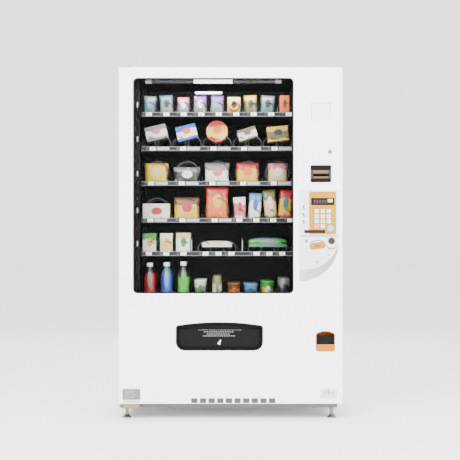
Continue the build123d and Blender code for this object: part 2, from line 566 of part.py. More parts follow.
# Foam panels behind the sheet, round the window, the hatch and the payment bay
LINER_X = (X_LEFT + SHEET + SEAM, X_RIGHT - SHEET - SEAM)
LINER_Z = (DOOR_LOW + SHEET + SEAM, DOOR_HIGH - SHEET - SEAM)
TRIM_X = (WINDOW_X[0] - TRIM_LAND, WINDOW_X[1] + TRIM_LAND)
TRIM_Z = (WINDOW_Z[0] - TRIM_LAND, WINDOW_Z[1] + TRIM_LAND)
WALL_X = (TRIM_X[0] - SEAM, TRIM_X[1] + SEAM)
BAY_X = WALL_X[1] + 9.0
VENT_TOP = DOOR_LOW + VENT_LIFT + VENT[1] / 2 + 14.0
BLOCK_Z = (LINER_Z[0] + HINGE_BLOCK, LINER_Z[1] - HINGE_BLOCK)
LINTEL = HATCH_TOP + 12.0
DUCT_X = (HATCH_X[0] - 4.0, HATCH_X[1] + 4.0)
with BuildPart() as door_liner:
    slab((LINER_X[0], WALL_X[0]), LINER_Y, (BLOCK_Z[0] + SEAM, BLOCK_Z[1] - SEAM))
    slab((WALL_X[0] + SEAM, LINER_X[1]), LINER_Y, (TRIM_Z[1] + SEAM, LINER_Z[1]))
    slab((WALL_X[1], BAY_X), LINER_Y, (TRIM_Z[0], TRIM_Z[1]))
    slab((LINER_X[1] - 12.0, LINER_X[1]), LINER_Y, (LINER_Z[0], TRIM_Z[1]))
    slab((WALL_X[0] + SEAM, DUCT_X[0]), SHALLOW_Y, (BIN_FLOOR + SEAM, TRIM_Z[0] - SEAM))
    slab((DUCT_X[1], BAY_X), SHALLOW_Y, (BIN_FLOOR + SEAM, TRIM_Z[0] - SEAM))
    slab((DUCT_X[0] + SEAM, DUCT_X[1] - SEAM), SHALLOW_Y, (LINTEL, TRIM_Z[0] - SEAM))
    slab((WALL_X[0] + SEAM, BAY_X), LINER_Y, (VENT_TOP, BIN_FLOOR))
    for low, high in ((BIN_X[0], WALL_X[0] + SEAM), (BIN_X[1], BAY_X)):
        with BuildSketch(facing(SHALLOW_Y[1] + SEAM)):
            with BuildLine():
                Polyline((low, BIN_FLOOR + SEAM), (high, BIN_FLOOR + SEAM), (high, BIN_TOP), close=True)
            make_face()
        extrude(amount=SHALLOW_Y[1] + SEAM - LINER_Y[1])
    for z in ((LINER_Z[0], BLOCK_Z[0]), (BLOCK_Z[1], LINER_Z[1])):
        slab((LINER_X[0], LINER_X[0] + 50.0), (LINER_Y[0], LINER_Y[0] + 40.0), z)
        rod_z(*HINGE, HINGE_PIN_R + LOOSE, z, mode=Mode.SUBTRACT)
write(door_liner, "door_liner")

# Black trim ring behind the window opening, holding both panes
with BuildPart() as window_trim:
    with BuildSketch(facing(SKIN_BACK + SEAM)):
        add(window_outline(-TRIM_LAND, WINDOW_R + TRIM_LAND / 2))
        add(window_outline(TRIM_LIP, WINDOW_R - TRIM_LIP), mode=Mode.SUBTRACT)
    extrude(amount=-(PANE * 2 + PANE_GAP + 6.0))
write(window_trim, "window_trim")

with BuildPart() as window_glass:
    for y in (SKIN_BACK + 3.0, SKIN_BACK + 3.0 + PANE + PANE_GAP):
        with BuildSketch(facing(y)):
            add(window_outline(TRIM_LIP + SEAM / 2, WINDOW_R - TRIM_LIP))
        extrude(amount=-PANE)
write(window_glass, "window_glass")

# Control plate: square corners except a quarter round at its lower right
PLATE_X = (X_RIGHT - PLATE_RIGHT - PLATE_WIDTH, X_RIGHT - PLATE_RIGHT)
PLATE_Z = (PLATE_TOP - PLATE_HEIGHT, PLATE_TOP)
with BuildPart() as control_plate:
    with BuildSketch(facing(PLATE_FRONT)):
        with BuildLine():
            Polyline((PLATE_X[0], PLATE_Z[0]), (PLATE_X[0], PLATE_Z[1]), (PLATE_X[1], PLATE_Z[1]),
                     (PLATE_X[1], PLATE_Z[0] + PLATE_WIDTH))
            RadiusArc((PLATE_X[1], PLATE_Z[0] + PLATE_WIDTH), (PLATE_X[0], PLATE_Z[0]), PLATE_WIDTH)
        make_face()
        with Locations(PAD_AT):
            Rectangle(PAD[0] - 8.0, PAD[1] - 8.0, mode=Mode.SUBTRACT)
        with Locations(SLOT_AT):
            Rectangle(SLOT_BEZEL[0] - 16.0, SLOT_BEZEL[1] - 8.0, mode=Mode.SUBTRACT)
        with Locations(LEVER):
            Circle(LEVER_R - 6.0, mode=Mode.SUBTRACT)
    extrude(amount=-PLATE_SHEET + 0.2)
write(control_plate, "control_plate")

# Keys of the pad: name, centre and half-size or radius
KEYS = {}
for row, height in enumerate(KEY_ROWS[:3]):
    for column, offset_x in enumerate(KEY_COLUMNS):
        KEYS[f"key_{row * 3 + column + 1}"] = (X_RIGHT - KEY_MIDDLE + offset_x, PLATE_TOP - height)
KEYS["key_0"] = (X_RIGHT - KEY_MIDDLE, PLATE_TOP - KEY_ROWS[3])
KEYS["key_cancel"] = (X_RIGHT - KEY_MIDDLE + KEY_COLUMNS[0], PLATE_TOP - KEY_ROWS[3])
KEYS["key_select"] = SELECT_AT


def key_face(name, grow):
    """Sketch one key's outline about the origin, larger by grow on each side."""
    with BuildSketch() as face:
        if name == "key_select":
            Circle(SELECT_R + grow)
        else:
            width, height = CANCEL_KEY if name == "key_cancel" else KEY
            RectangleRounded(width + 2 * grow, height + 2 * grow, 3.0 + grow)
    return face.sketch


# Keypad panel with a hole for each key and for the display lens
with BuildPart() as keypad_panel:
    with BuildSketch(facing(PAD_FRONT)):
        with Locations(PAD_AT):
            RectangleRounded(*PAD, 6.0)
        with Locations(LENS_AT):
            RectangleRounded(*LENS, 4.0, mode=Mode.SUBTRACT)
        for name, place in KEYS.items():
            with Locations(place):
                add(key_face(name, LOOSE + 0.1), mode=Mode.SUBTRACT)
    extrude(amount=-PAD_SHEET)
write(keypad_panel, "keypad_panel")

# Keys: a cap through the panel and a wider rim behind it
for name, place in KEYS.items():
    with BuildPart() as key:
        with BuildSketch(facing(PAD_FRONT - KEY_PROUD)):
            with Locations(place):
                add(key_face(name, 0.0))
        extrude(amount=-KEY_SHEET)
        fillet(key.faces().sort_by(Axis.Y)[0].edges(), 1.2)
        with BuildSketch(facing(PLATE_FRONT + LOOSE)):
            with Locations(place):
                add(key_face(name, KEY_RIM))
        extrude(amount=-1.5)
    write(key, name)

with BuildPart() as display_lens:
    with BuildSketch(facing(PAD_FRONT - 1.5)):
        with Locations(LENS_AT):
            RectangleRounded(LENS[0] - 2 * LOOSE, LENS[1] - 2 * LOOSE, 4.0 - LOOSE)
    extrude(amount=-5.0)
    fillet(display_lens.faces().sort_by(Axis.Y)[0].edges(), 1.0)
write(display_lens, "display_lens")

# Coin slot bezel: a tilted lozenge with the slot through it
with BuildPart() as coin_slot_bezel:
    with BuildSketch(facing(PLATE_FRONT - 6.0)):
        with Locations(Location((*SLOT_AT, 0), (0, 0, SLOT_TILT))):
            SlotOverall(*SLOT_BEZEL)
    extrude(amount=-6.0)
    chamfer(coin_slot_bezel.faces().sort_by(Axis.Y)[0].edges(), 4.0, 8.0)
    with BuildSketch(facing(PLATE_FRONT)):
        with Locations(Location((*SLOT_AT, 0), (0, 0, SLOT_TILT))):
            SlotOverall(COIN_SLOT[0] + 14.0, SLOT_BEZEL[1] - 16.0)
    extrude(amount=-12.0)
    with BuildSketch(facing(PLATE_FRONT - 6.0)):
        with Locations(Location((*SLOT_AT, 0), (0, 0, SLOT_TILT))):
            Rectangle(*COIN_SLOT)
    extrude(amount=-18.0, mode=Mode.SUBTRACT)
write(coin_slot_bezel, "coin_slot_bezel")

# Note validator: dark bezel with a recessed mouth, body above and below the note path
NOTE_X = span(NOTE_AT[0], NOTE[0])
NOTE_Z = span(NOTE_AT[1], NOTE[1])
NOTE_PATH = span(NOTE_AT[1] - 8.0, NOTE_SLOT[1])
with BuildPart() as bill_validator:
    with BuildSketch(facing(Y_DOOR - 7.0)):
        with Locations(NOTE_AT):
            RectangleRounded(*NOTE, 6.0)
    extrude(amount=-6.8)
    fillet(bill_validator.faces().sort_by(Axis.Y)[0].edges(), 2.5)
    with BuildSketch(facing(Y_DOOR - 7.0)):
        with Locations(NOTE_AT):
            Rectangle(NOTE_SLOT[0] + 14.0, NOTE[1] - 34.0)
    extrude(amount=-3.0, mode=Mode.SUBTRACT)
    slab(span(NOTE_AT[0], NOTE_SLOT[0]), (Y_DOOR - 8.0, Y_DOOR), NOTE_PATH, mode=Mode.SUBTRACT)
    slab(span(NOTE_AT[0], 84.0), (Y_DOOR + LOOSE, Y_DOOR + 130.0), (NOTE_PATH[1], NOTE_Z[1] - 4.0))
    slab(span(NOTE_AT[0], 84.0), (Y_DOOR + LOOSE, Y_DOOR + 110.0), (NOTE_Z[0] + 4.0, NOTE_PATH[0]))
    for side in (-1, 1):
        wall = NOTE_AT[0] + side * 42.0
        slab((wall - 5.6, wall) if side > 0 else (wall, wall + 5.6), (Y_DOOR + LOOSE, Y_DOOR + 110.0),
             (NOTE_PATH[0], NOTE_PATH[1]))
write(bill_validator, "bill_validator")

# Coin mechanism: chassis with four coin tubes below its acceptor
COIN_X = (PAD_AT[0] - 69.0, PAD_AT[0] + 62.0)
COIN_Y = (Y_DOOR + 30.0, Y_DOOR + 108.0)
COIN_Z = (PLATE_TOP - 410.0, PLATE_TOP - 60.0)
with BuildPart() as coin_mechanism:
    slab(COIN_X, COIN_Y, (COIN_Z[1] - 130.0, COIN_Z[1]))
    slab(COIN_X, (COIN_Y[0], COIN_Y[0] + 6.0), (COIN_Z[0], COIN_Z[1] - 130.0 - SEAM))
    slab(COIN_X, (COIN_Y[0] + 6.0 + SEAM, COIN_Y[1]), (COIN_Z[0], COIN_Z[0] + 30.0))
    tube_z = (COIN_Z[0] + 30.0 + SEAM, COIN_Z[1] - 130.0 - SEAM)
    for index in range(4):
        rod_z(COIN_X[0] + 18.0 + index * 31.5, COIN_Y[0] + 28.0, 14.0, tube_z)
write(coin_mechanism, "coin_mechanism")

# Coin return cup: arched body, hollow behind a low front lip
with BuildPart() as coin_return_cup:
    with BuildSketch(facing(Y_DOOR - 3.0)):
        add(CUP)
        offset(amount=-LOOSE, mode=Mode.REPLACE)
    extrude(amount=-CUP_DEPTH)
    with BuildSketch(facing(Y_DOOR)):
        add(CUP)
        offset(amount=-CUP_WALL - LOOSE, mode=Mode.REPLACE)
    extrude(amount=-(CUP_DEPTH - 3.0 - CUP_WALL), mode=Mode.SUBTRACT)
    with BuildSketch(facing(Y_DOOR - 3.0)):
        add(CUP)
        offset(amount=-CUP_WALL - LOOSE, mode=Mode.REPLACE)
        with Locations((sum(CUP_X) / 2, CUP_Z)):
            Rectangle(CUP_WIDTH, 2 * CUP_LIP, mode=Mode.SUBTRACT)
    extrude(amount=-3.0, mode=Mode.SUBTRACT)
write(coin_return_cup, "coin_return_cup")

# Coin return flap, hung on a rod at its top
CUP_FLAP_X = (CUP_X[0] + CUP_WALL + 2.0, CUP_X[1] - CUP_WALL - 2.0)
with BuildPart() as coin_return_flap:
    slab(CUP_FLAP_X, span(CUP_FLAP_AXIS[0], 2.5), (CUP_Z + CUP_LIP + 3.0, CUP_FLAP_AXIS[1]))
    rod_x(*CUP_FLAP_AXIS, 2.5, CUP_FLAP_X)
write(coin_return_flap, "coin_return_flap")

# Coin return lever: round knob with a finger bar, on a shaft through the plate
with BuildPart() as coin_return_lever:
    rod_y(*LEVER, LEVER_R, (PLATE_FRONT - 5.0, PLATE_FRONT - LOOSE))
    fillet(coin_return_lever.faces().sort_by(Axis.Y)[0].edges(), 1.5)
    with BuildSketch(facing(Y_DOOR - PROUD)):
        with Locations(LEVER):
            SlotOverall(LEVER_R * 1.8, 9.0)
    extrude(amount=-(PROUD - PLATE_SHEET - 4.0))
    rod_y(*LEVER, 5.0, (PLATE_FRONT - 1.0, Y_DOOR + 22.0))
write(coin_return_lever, "coin_return_lever")

# Delivery bezel: arched ring with a pin bore in each side wall
with BuildPart() as delivery_bezel:
    with BuildSketch(facing(Y_DOOR - 3.0)):
        add(HATCH)
        offset(amount=-LOOSE, mode=Mode.REPLACE)
        with BuildSketch(mode=Mode.PRIVATE) as hatch_hole:
            add(HATCH)
            offset(amount=-BEZEL_WALL, mode=Mode.REPLACE)
        add(hatch_hole.sketch, mode=Mode.SUBTRACT)
    extrude(amount=-BEZEL_DEPTH)
    rod_x(*FLAP_AXIS, FLAP_PIN_R + LOOSE, (HATCH_X[0], HATCH_X[1]), mode=Mode.SUBTRACT)
write(delivery_bezel, "delivery_bezel")

# Delivery flap: plate inside the bezel, stiff lower lip and a pin at each end
FLAP_TOP_DROP = 14.0
with BuildPart() as delivery_flap:
    with BuildSketch(facing(FLAP_AXIS[0] - FLAP_SHEET / 2)):
        add(HATCH)
        offset(amount=-BEZEL_WALL - FLAP_GAP, mode=Mode.REPLACE)
        with BuildSketch(mode=Mode.PRIVATE) as lowered:
            with Locations((0, -FLAP_TOP_DROP)):
                add(HATCH)
        add(lowered.sketch, mode=Mode.INTERSECT)
    extrude(amount=-FLAP_SHEET)
    flap_x = (HATCH_X[0] + BEZEL_WALL + FLAP_GAP, HATCH_X[1] - BEZEL_WALL - FLAP_GAP)
    rod_x(*FLAP_AXIS, 5.0, (flap_x[0] + 1.0, flap_x[1] - 1.0))
    rod_x(*FLAP_AXIS, FLAP_PIN_R, (flap_x[0] - FLAP_GAP - 6.0, flap_x[1] + FLAP_GAP + 6.0))
    lip_z = HATCH_Z + BEZEL_WALL + FLAP_GAP
    slab((HATCH_X[0] + 70.0, HATCH_X[1] - 70.0), span(FLAP_AXIS[0] - 3.0, 6.0), (lip_z, lip_z + 5.0))
write(delivery_flap, "delivery_flap")

with BuildPart() as reader_blank:
    with BuildSketch(facing(Y_DOOR + 1.2)):
        with Locations(READER_AT):
            Rectangle(READER[0] - 1.0, READER[1] - 1.0)
    extrude(amount=-3.0)
    fillet(reader_blank.edges().filter_by(Axis.Y), 3.0)
write(reader_blank, "reader_blank")

# Light bar under the door's top panel: housing and tube
LIGHT_Y = (Y_DOOR + 34.0, Y_DOOR + 66.0)
with BuildPart() as light_bar:
    slab((WINDOW_X[0] + 40.0, WINDOW_X[1] - 40.0), LIGHT_Y, (TRIM_Z[1] - 12.0, TRIM_Z[1]))
    rod_x(sum(LIGHT_Y) / 2, TRIM_Z[1] - 12.0 - SEAM - 13.0, 13.0, (WINDOW_X[0] + 60.0, WINDOW_X[1] - 60.0))
write(light_bar, "light_bar")

# Lock barrel with its cam disc and pin; the key turns it a quarter turn
CAM_Y = (LATCH_Y[0] - 7.0, LATCH_Y[0] - 1.0)
with BuildPart() as lock_barrel:
    rod_y(*LOCK, LOCK_FLANGE_R, (Y_DOOR - 4.0, Y_DOOR - LOOSE))
    fillet(lock_barrel.faces().sort_by(Axis.Y)[0].edges(), 1.0)
    rod_y(*LOCK, LOCK_R, (Y_DOOR - 1.0, CAM_Y[0] + 1.0))
    rod_y(*LOCK, CAM_R + 5.0, CAM_Y)
    throw = CAM_R * math.sqrt(0.5)
    rod_y(LOCK[0] + throw, LOCK[1] + throw, 3.0, (CAM_Y[1] - 1.0, LATCH_Y[1]))
    slab(span(LOCK[0], 1.6), (Y_DOOR - 5.0, Y_DOOR - 3.0), span(LOCK[1], 9.0), mode=Mode.SUBTRACT)
write(lock_barrel, "lock_barrel")

# Latch bar with the fork that the cam pin moves, and its hooks
BAR_X = span(X_RIGHT - LATCH_X, LATCH_BAR[0])
FORK_Z = LOCK[1] + CAM_R * math.sqrt(0.5)
HOOK_Y = (LATCH_Y[1] + SEAM, LATCH_Y[0] + HOOK_REACH + HOOK_HEIGHT)
with BuildPart() as latch_bar:
    slab(BAR_X, LATCH_Y, (LATCH_LOW, HEIGHT - LATCH_TOP))
    for z in ((FORK_Z + 4.0, FORK_Z + 9.0), (FORK_Z - 9.0, FORK_Z - 4.0)):
        slab((LOCK[0] - 4.0, BAR_X[0] - SEAM), LATCH_Y, z)
    for hook in LATCH_HOOKS:
        base = LATCH_LOW + hook
        slab(BAR_X, HOOK_Y, (base, base + HOOK_HEIGHT))
        slab(BAR_X, (HOOK_Y[1] - HOOK_HEIGHT, HOOK_Y[1]), (base - HOOK_HEIGHT, base - SEAM))
write(latch_bar, "latch_bar")


# ================= Trays and coils =================


def lane_edges(tray):
    """X of every lane boundary on a tray, from its left side to its right."""
    inside = (TRAY_X[0] + TRAY_SHEET, TRAY_X[1] - TRAY_SHEET)
    edges = [inside[0]]
    for weight in LANES[tray]:
        edges.append(edges[-1] + (inside[1] - inside[0]) * weight / sum(LANES[tray]))
    return edges


def coil_places(tray):
    """(x, radius) of every coil on a tray; a paired lane has two."""
    edges = lane_edges(tray)
    places = []
    for weight, low, high in zip(LANES[tray], edges, edges[1:]):
        count = 2 if PAIRED_WEIGHT.get(tray) == weight else 1
        width = (high - low) / count
        radius = min((width - 2 * COIL_GAP) / 2 + (COIL_GAP / 2 if count == 2 else 0), COIL_LIMIT)
        if count == 2:
            radius = min(radius, PAIRED_LIMIT[tray])
        for index in range(count):
            places.append((low + width * (index + 0.5), radius))
    return places


def coil(radius):
    """Build one drive coil about the Y axis: the wire, and its hub with a spoke to the wire's end."""
    with BuildPart() as spring:
        with BuildLine() as path:
            Helix(COIL_PITCH, COIL_LENGTH, radius - WIRE_R, center=(0, COIL_START, 0), direction=(0, 1, 0))
        with BuildSketch(Plane(origin=path.line @ 0, z_dir=path.line % 0)):
            Circle(WIRE_R)
        sweep(is_frenet=True)
        hub_y = COIL_START + COIL_LENGTH + WIRE_R + SEAM
        rod_y(0, 0, HUB_R, (hub_y, hub_y + HUB_LENGTH))
        slab(span(0, 6.0), (hub_y, hub_y + 6.0), (0, radius))
    return spring


def coil_height(tray, radius):
    """Z of a coil's axis on its tray."""
    return TRAY_Z[tray] + TRAY_SHEET + COIL_LIFT + radius


# Trays: pan, sides, rear wall, dividers, price rail and vend motors
for tray, z in TRAY_Z.items():
    edges = lane_edges(tray)
    floor = z + TRAY_SHEET + SEAM
    with BuildPart() as tray_part:
        slab(TRAY_X, TRAY_Y, (z, z + TRAY_SHEET))
        for side in ((TRAY_X[0], TRAY_X[0] + TRAY_SHEET), (TRAY_X[1] - TRAY_SHEET, TRAY_X[1])):
            slab(side, TRAY_Y, (floor, z + TRAY_WALL))
        motor_wall_y = (MOTOR_WALL, MOTOR_WALL + TRAY_SHEET)
        slab((edges[0] + SEAM, edges[-1] - SEAM), motor_wall_y, (floor, z + TRAY_WALL))
        for x in edges[1:-1]:
            slab(span(x, TRAY_SHEET), (TRAY_Y[0] + SEAM, MOTOR_WALL - SEAM), (floor, floor + DIVIDERS[tray]))
        plate_prism(
            ((TRAY_Y[0] - RAIL_DEPTH, z), (TRAY_Y[0] - RAIL_DEPTH + 2.0, z + RAIL_HEIGHT),
             (TRAY_Y[0] - SEAM, z + RAIL_HEIGHT), (TRAY_Y[0] - SEAM, z)),
            TRAY_X,
        )
        for x, radius in coil_places(tray):
            motor_y = (motor_wall_y[1] + SEAM, MOTOR_WALL + MOTOR[1])
            slab(span(x, MOTOR[0]), motor_y, (floor, floor + MOTOR[2]))
    write(tray_part, f"tray_{tray}")

# Coils: the turning coils of one tray are pieces of their own, the others stand in one group per tray
TURNING_TRAY = 3
for tray in TRAY_Z:
    springs = {radius: coil(radius) for radius in {radius for x, radius in coil_places(tray)}}
    if tray == TURNING_TRAY:
        for number, (x, radius) in enumerate(coil_places(tray), start=1):
            with BuildPart() as single:
                with Locations((x, 0, coil_height(tray, radius))):
                    add(springs[radius].part)
            write(single, f"coil_{tray}_{number}")
    else:
        with BuildPart() as group:
            for radius, spring in springs.items():
                places = [(x, 0, coil_height(tray, radius)) for x, r in coil_places(tray) if r == radius]
                with Locations(*places):
                    add(spring.part)
        write(group, f"coils_{tray}")
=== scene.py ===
"""Snack vending machine: finishes, goods, markings and studio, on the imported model's frame."""

import json
import math

import bmesh
import bpy
from bpy.props import FloatProperty, FloatVectorProperty, IntProperty, PointerProperty
from mathutils import Matrix, Vector, noise


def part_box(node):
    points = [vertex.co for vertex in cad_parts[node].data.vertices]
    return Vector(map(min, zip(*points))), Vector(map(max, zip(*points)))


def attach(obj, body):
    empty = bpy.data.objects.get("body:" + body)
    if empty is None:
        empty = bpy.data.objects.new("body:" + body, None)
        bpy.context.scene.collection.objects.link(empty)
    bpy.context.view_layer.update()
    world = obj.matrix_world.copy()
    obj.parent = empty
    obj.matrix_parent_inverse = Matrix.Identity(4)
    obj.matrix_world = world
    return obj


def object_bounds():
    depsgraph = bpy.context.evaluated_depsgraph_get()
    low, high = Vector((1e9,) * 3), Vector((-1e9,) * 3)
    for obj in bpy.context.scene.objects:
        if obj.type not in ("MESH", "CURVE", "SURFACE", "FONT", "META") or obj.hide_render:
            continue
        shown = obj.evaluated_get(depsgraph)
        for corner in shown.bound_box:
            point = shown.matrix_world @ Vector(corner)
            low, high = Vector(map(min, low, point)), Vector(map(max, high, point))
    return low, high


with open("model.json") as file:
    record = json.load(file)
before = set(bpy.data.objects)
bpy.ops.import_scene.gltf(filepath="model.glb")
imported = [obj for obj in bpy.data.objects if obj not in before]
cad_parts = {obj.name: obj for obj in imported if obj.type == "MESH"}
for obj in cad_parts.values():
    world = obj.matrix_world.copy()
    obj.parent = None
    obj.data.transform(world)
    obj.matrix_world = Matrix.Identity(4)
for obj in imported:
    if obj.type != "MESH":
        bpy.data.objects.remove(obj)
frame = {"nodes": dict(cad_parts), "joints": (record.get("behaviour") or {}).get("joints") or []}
CAD_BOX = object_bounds()

bl_info = {
    "name": "Snack vending machine",
    "version": (1, 0, 0),
    "blender": (4, 5, 0),
    "location": "3D View > Sidebar > Vending",
    "description": "Finishes, goods, markings and studio for a coil snack vending machine",
    "category": "Object",
}

# Lane weights on each tray, and the coil's pitch, as the trays are built
LANES = {1: (1,) * 9, 2: (1,) * 5, 3: (1,) * 5, 4: (2, 2, 2, 1, 1, 1, 1), 5: (1, 1, 1, 3, 3), 6: (1,) * 9}
COIL_PITCH = 0.052
PAN = 0.0019  # thickness of a tray's floor
PACK_GAP = 0.004  # least room between two packs in a lane
SKIN = 0.0004  # printed marks stand this far off what they are printed on
SINK = 0.0002  # and reach this far into it
MARK = 0.0006  # the two together

# Colours of the printed packs
WHITE = (0.446, 0.432, 0.389)
CREAM = (0.36, 0.282, 0.144)
PINK = (0.33, 0.072, 0.12)
RED = (0.252, 0.0072, 0.0072)
ORANGE = (0.372, 0.072, 0.0048)
YELLOW = (0.408, 0.24, 0.009)
GREEN = (0.018, 0.156, 0.018)
LEAF = (0.03, 0.24, 0.012)
TEAL = (0.03, 0.084, 0.084)
BLUE = (0.009, 0.042, 0.216)
SKY = (0.06, 0.144, 0.252)
PURPLE = (0.078, 0.03, 0.132)
SILVER = (0.102, 0.108, 0.108)
OLIVE = (0.072, 0.072, 0.018)
BROWN = (0.078, 0.027, 0.0072)
DARK = (0.0072, 0.0072, 0.0084)

# How far the price tags stand right of their lane's middle, and how much that grows from lane to lane
TAG_DRIFT = {
    1: (-0.002, 0.0028),
    2: (-0.018, 0.0),
    3: (-0.026, 0.001),
    4: (-0.03, 0.009),
    5: (-0.002, 0.002),
    6: (0.0, 0.0),
}

# Goods on each tray, lane by lane: form, width, height, field, band and emblem colours, tilt in degrees
GOODS = {
    1: (
        ("pouch", 0.066, 0.108, TEAL, SILVER, SKY, 3),
        ("pouch", 0.07, 0.112, SILVER, TEAL, DARK, -4),
        ("pouch", 0.062, 0.104, SILVER, PINK, WHITE, 0),
        ("pouch", 0.068, 0.112, SILVER, PURPLE, WHITE, 0),
        ("pouch", 0.068, 0.112, SILVER, PURPLE, SKY, 2),
        ("ring", 0.07, 0.106, YELLOW, CREAM, BROWN, 0),
        ("pouch", 0.066, 0.112, OLIVE, YELLOW, DARK, -3),
        ("pouch", 0.074, 0.11, TEAL, SILVER, DARK, 3),
        ("carton", 0.05, 0.112, ORANGE, ORANGE, BROWN, 0),
    ),
    2: (
        ("carton", 0.113, 0.076, WHITE, SILVER, PINK, -13),
        ("carton", 0.108, 0.078, WHITE, BLUE, ORANGE, -14),
        ("tub", 0.114, 0.114, YELLOW, RED, ORANGE, 0),
        ("carton", 0.1, 0.062, WHITE, OLIVE, PURPLE, -17),
        ("carton", 0.112, 0.078, OLIVE, YELLOW, DARK, -6),
    ),
    3: (
        ("pouch", 0.122, 0.118, YELLOW, YELLOW, CREAM, 0),
        ("pouch", 0.14, 0.098, DARK, SILVER, WHITE, 0),
        ("pouch", 0.13, 0.12, WHITE, SILVER, PINK, 0),
        ("pouch", 0.118, 0.12, YELLOW, RED, ORANGE, 0),
        ("pouch", 0.104, 0.118, CREAM, PINK, WHITE, 0),
    ),
    4: (
        ("carton", 0.142, 0.098, WHITE, WHITE, RED, 0),
        ("pouch", 0.134, 0.132, YELLOW, BROWN, RED, 0),
        ("pouch", 0.118, 0.186, ORANGE, RED, YELLOW, 0),
        ("pouch", 0.066, 0.132, PINK, WHITE, RED, -3),
        ("pouch", 0.068, 0.152, WHITE, SKY, BLUE, 4),
        ("pouch", 0.068, 0.168, CREAM, OLIVE, WHITE, -5),
        ("pouch", 0.07, 0.168, YELLOW, RED, TEAL, 5),
    ),
    5: (
        ("carton", 0.07, 0.118, WHITE, GREEN, YELLOW, 0),
        ("carton", 0.066, 0.118, CREAM, WHITE, YELLOW, 0),
        ("carton", 0.076, 0.12, WHITE, CREAM, GREEN, 0),
        ("loaf", 0.164, 0.034, WHITE, WHITE, CREAM, 0),
        ("loaf", 0.206, 0.052, GREEN, TEAL, SILVER, 0),
    ),
    6: (
        ("bottle", 0.06, 0.218, RED, DARK, SILVER, 0),
        ("bottle", 0.06, 0.22, BLUE, TEAL, SKY, 0),
        ("bottle", 0.06, 0.224, LEAF, DARK, GREEN, 0),
        ("cup", 0.066, 0.128, SILVER, WHITE, GREEN, 0),
        ("can", 0.05, 0.15, CREAM, OLIVE, TEAL, 0),
        ("cup", 0.07, 0.112, ORANGE, BROWN, ORANGE, 0),
        ("cup", 0.074, 0.108, TEAL, SKY, BLUE, 0),
        ("cup", 0.07, 0.122, YELLOW, GREEN, WHITE, 0),
        ("can", 0.062, 0.138, DARK, SILVER, DARK, 0),
    ),
}


# ---------------------------------------------------------------- settings


def colour_setting(name, description, default):
    """A colour setting."""
    return FloatVectorProperty(
        name=name, description=description, subtype="COLOR", size=3, min=0.0, max=1.0, default=default,
    )


class FinishSettings(bpy.types.PropertyGroup):
    """Colours of the machine's own finishes."""

    paint: colour_setting("Paint", "Powder coat of the door and cabinet", (0.93, 0.932, 0.935))
    plate: colour_setting("Control plate", "Plate behind the keypad", (0.66, 0.67, 0.69))
    sweep: colour_setting("Plate sweep", "Grey sweep along the plate's round edge", (0.24, 0.24, 0.245))
    panel: colour_setting("Keypad panel", "Panel round the keys", (0.38, 0.18, 0.0))
    interior: colour_setting("Interior", "Walls of the chamber", (0.005, 0.005, 0.0055))


class GoodsSettings(bpy.types.PropertyGroup):
    """How the trays are stocked."""

    deep: IntProperty(
        name="Packs deep", description="Packs one behind another in a lane", default=3, min=1, max=7,
    )
    thickness: FloatProperty(
        name="Pack thickness", description="Front to back of a pouch or carton", unit="LENGTH", default=0.036,
        min=0.01, max=0.045,
    )


class StudioSettings(bpy.types.PropertyGroup):
    """Camera and lights."""

    distance: FloatProperty(
        name="Camera distance", description="From the camera to the door", unit="LENGTH", default=6.0,
        min=2.0,
    )
    view_width: FloatProperty(
        name="View width", description="Width seen at the door", unit="LENGTH", default=2.37, min=0.5,
    )
    eye: FloatProperty(
        name="Camera height", description="Above the floor", unit="LENGTH", default=0.982, min=0.1,
    )
    lamp: FloatProperty(
        name="Chamber lamp", description="Power of the light in the chamber, in watts", default=6.0, min=0.0,
    )


# ---------------------------------------------------------------- materials

FACTOR, MIX_A, MIX_B, MIXED = 0, 6, 7, 2  # sockets of a node that mixes colours
VECTORS = "ShaderNodeVectorMath"
NOISE = "ShaderNodeTexNoise"


def socket(group, name, way, kind, default=None):
    """Add one socket to a node group."""
    made = group.interface.new_socket(name=name, in_out=way, socket_type=kind)
    if default is not None:
        made.default_value = default


def link(tree, *rows):
    """Join outputs to inputs, each row being a node, its output, another node and its input."""
    for a, out, b, into in rows:
        tree.links.new(a.outputs[out], b.inputs[into])


def put(node, values):
    """Set a node's inputs, by name or number; the node comes back."""
    for name, value in values.items():
        node.inputs[name].default_value = value
    return node


def maths(tree, operation, second=None, kind="ShaderNodeMath"):
    """Add a math node, with its second input set if a value is given."""
    node = tree.nodes.new(kind)
    node.operation = operation
    return node if second is None else put(node, {1: second})


def colour_mix(tree):
    """Add a node that mixes two colours."""
    node = tree.nodes.new("ShaderNodeMix")
    node.data_type = "RGBA"
    return node


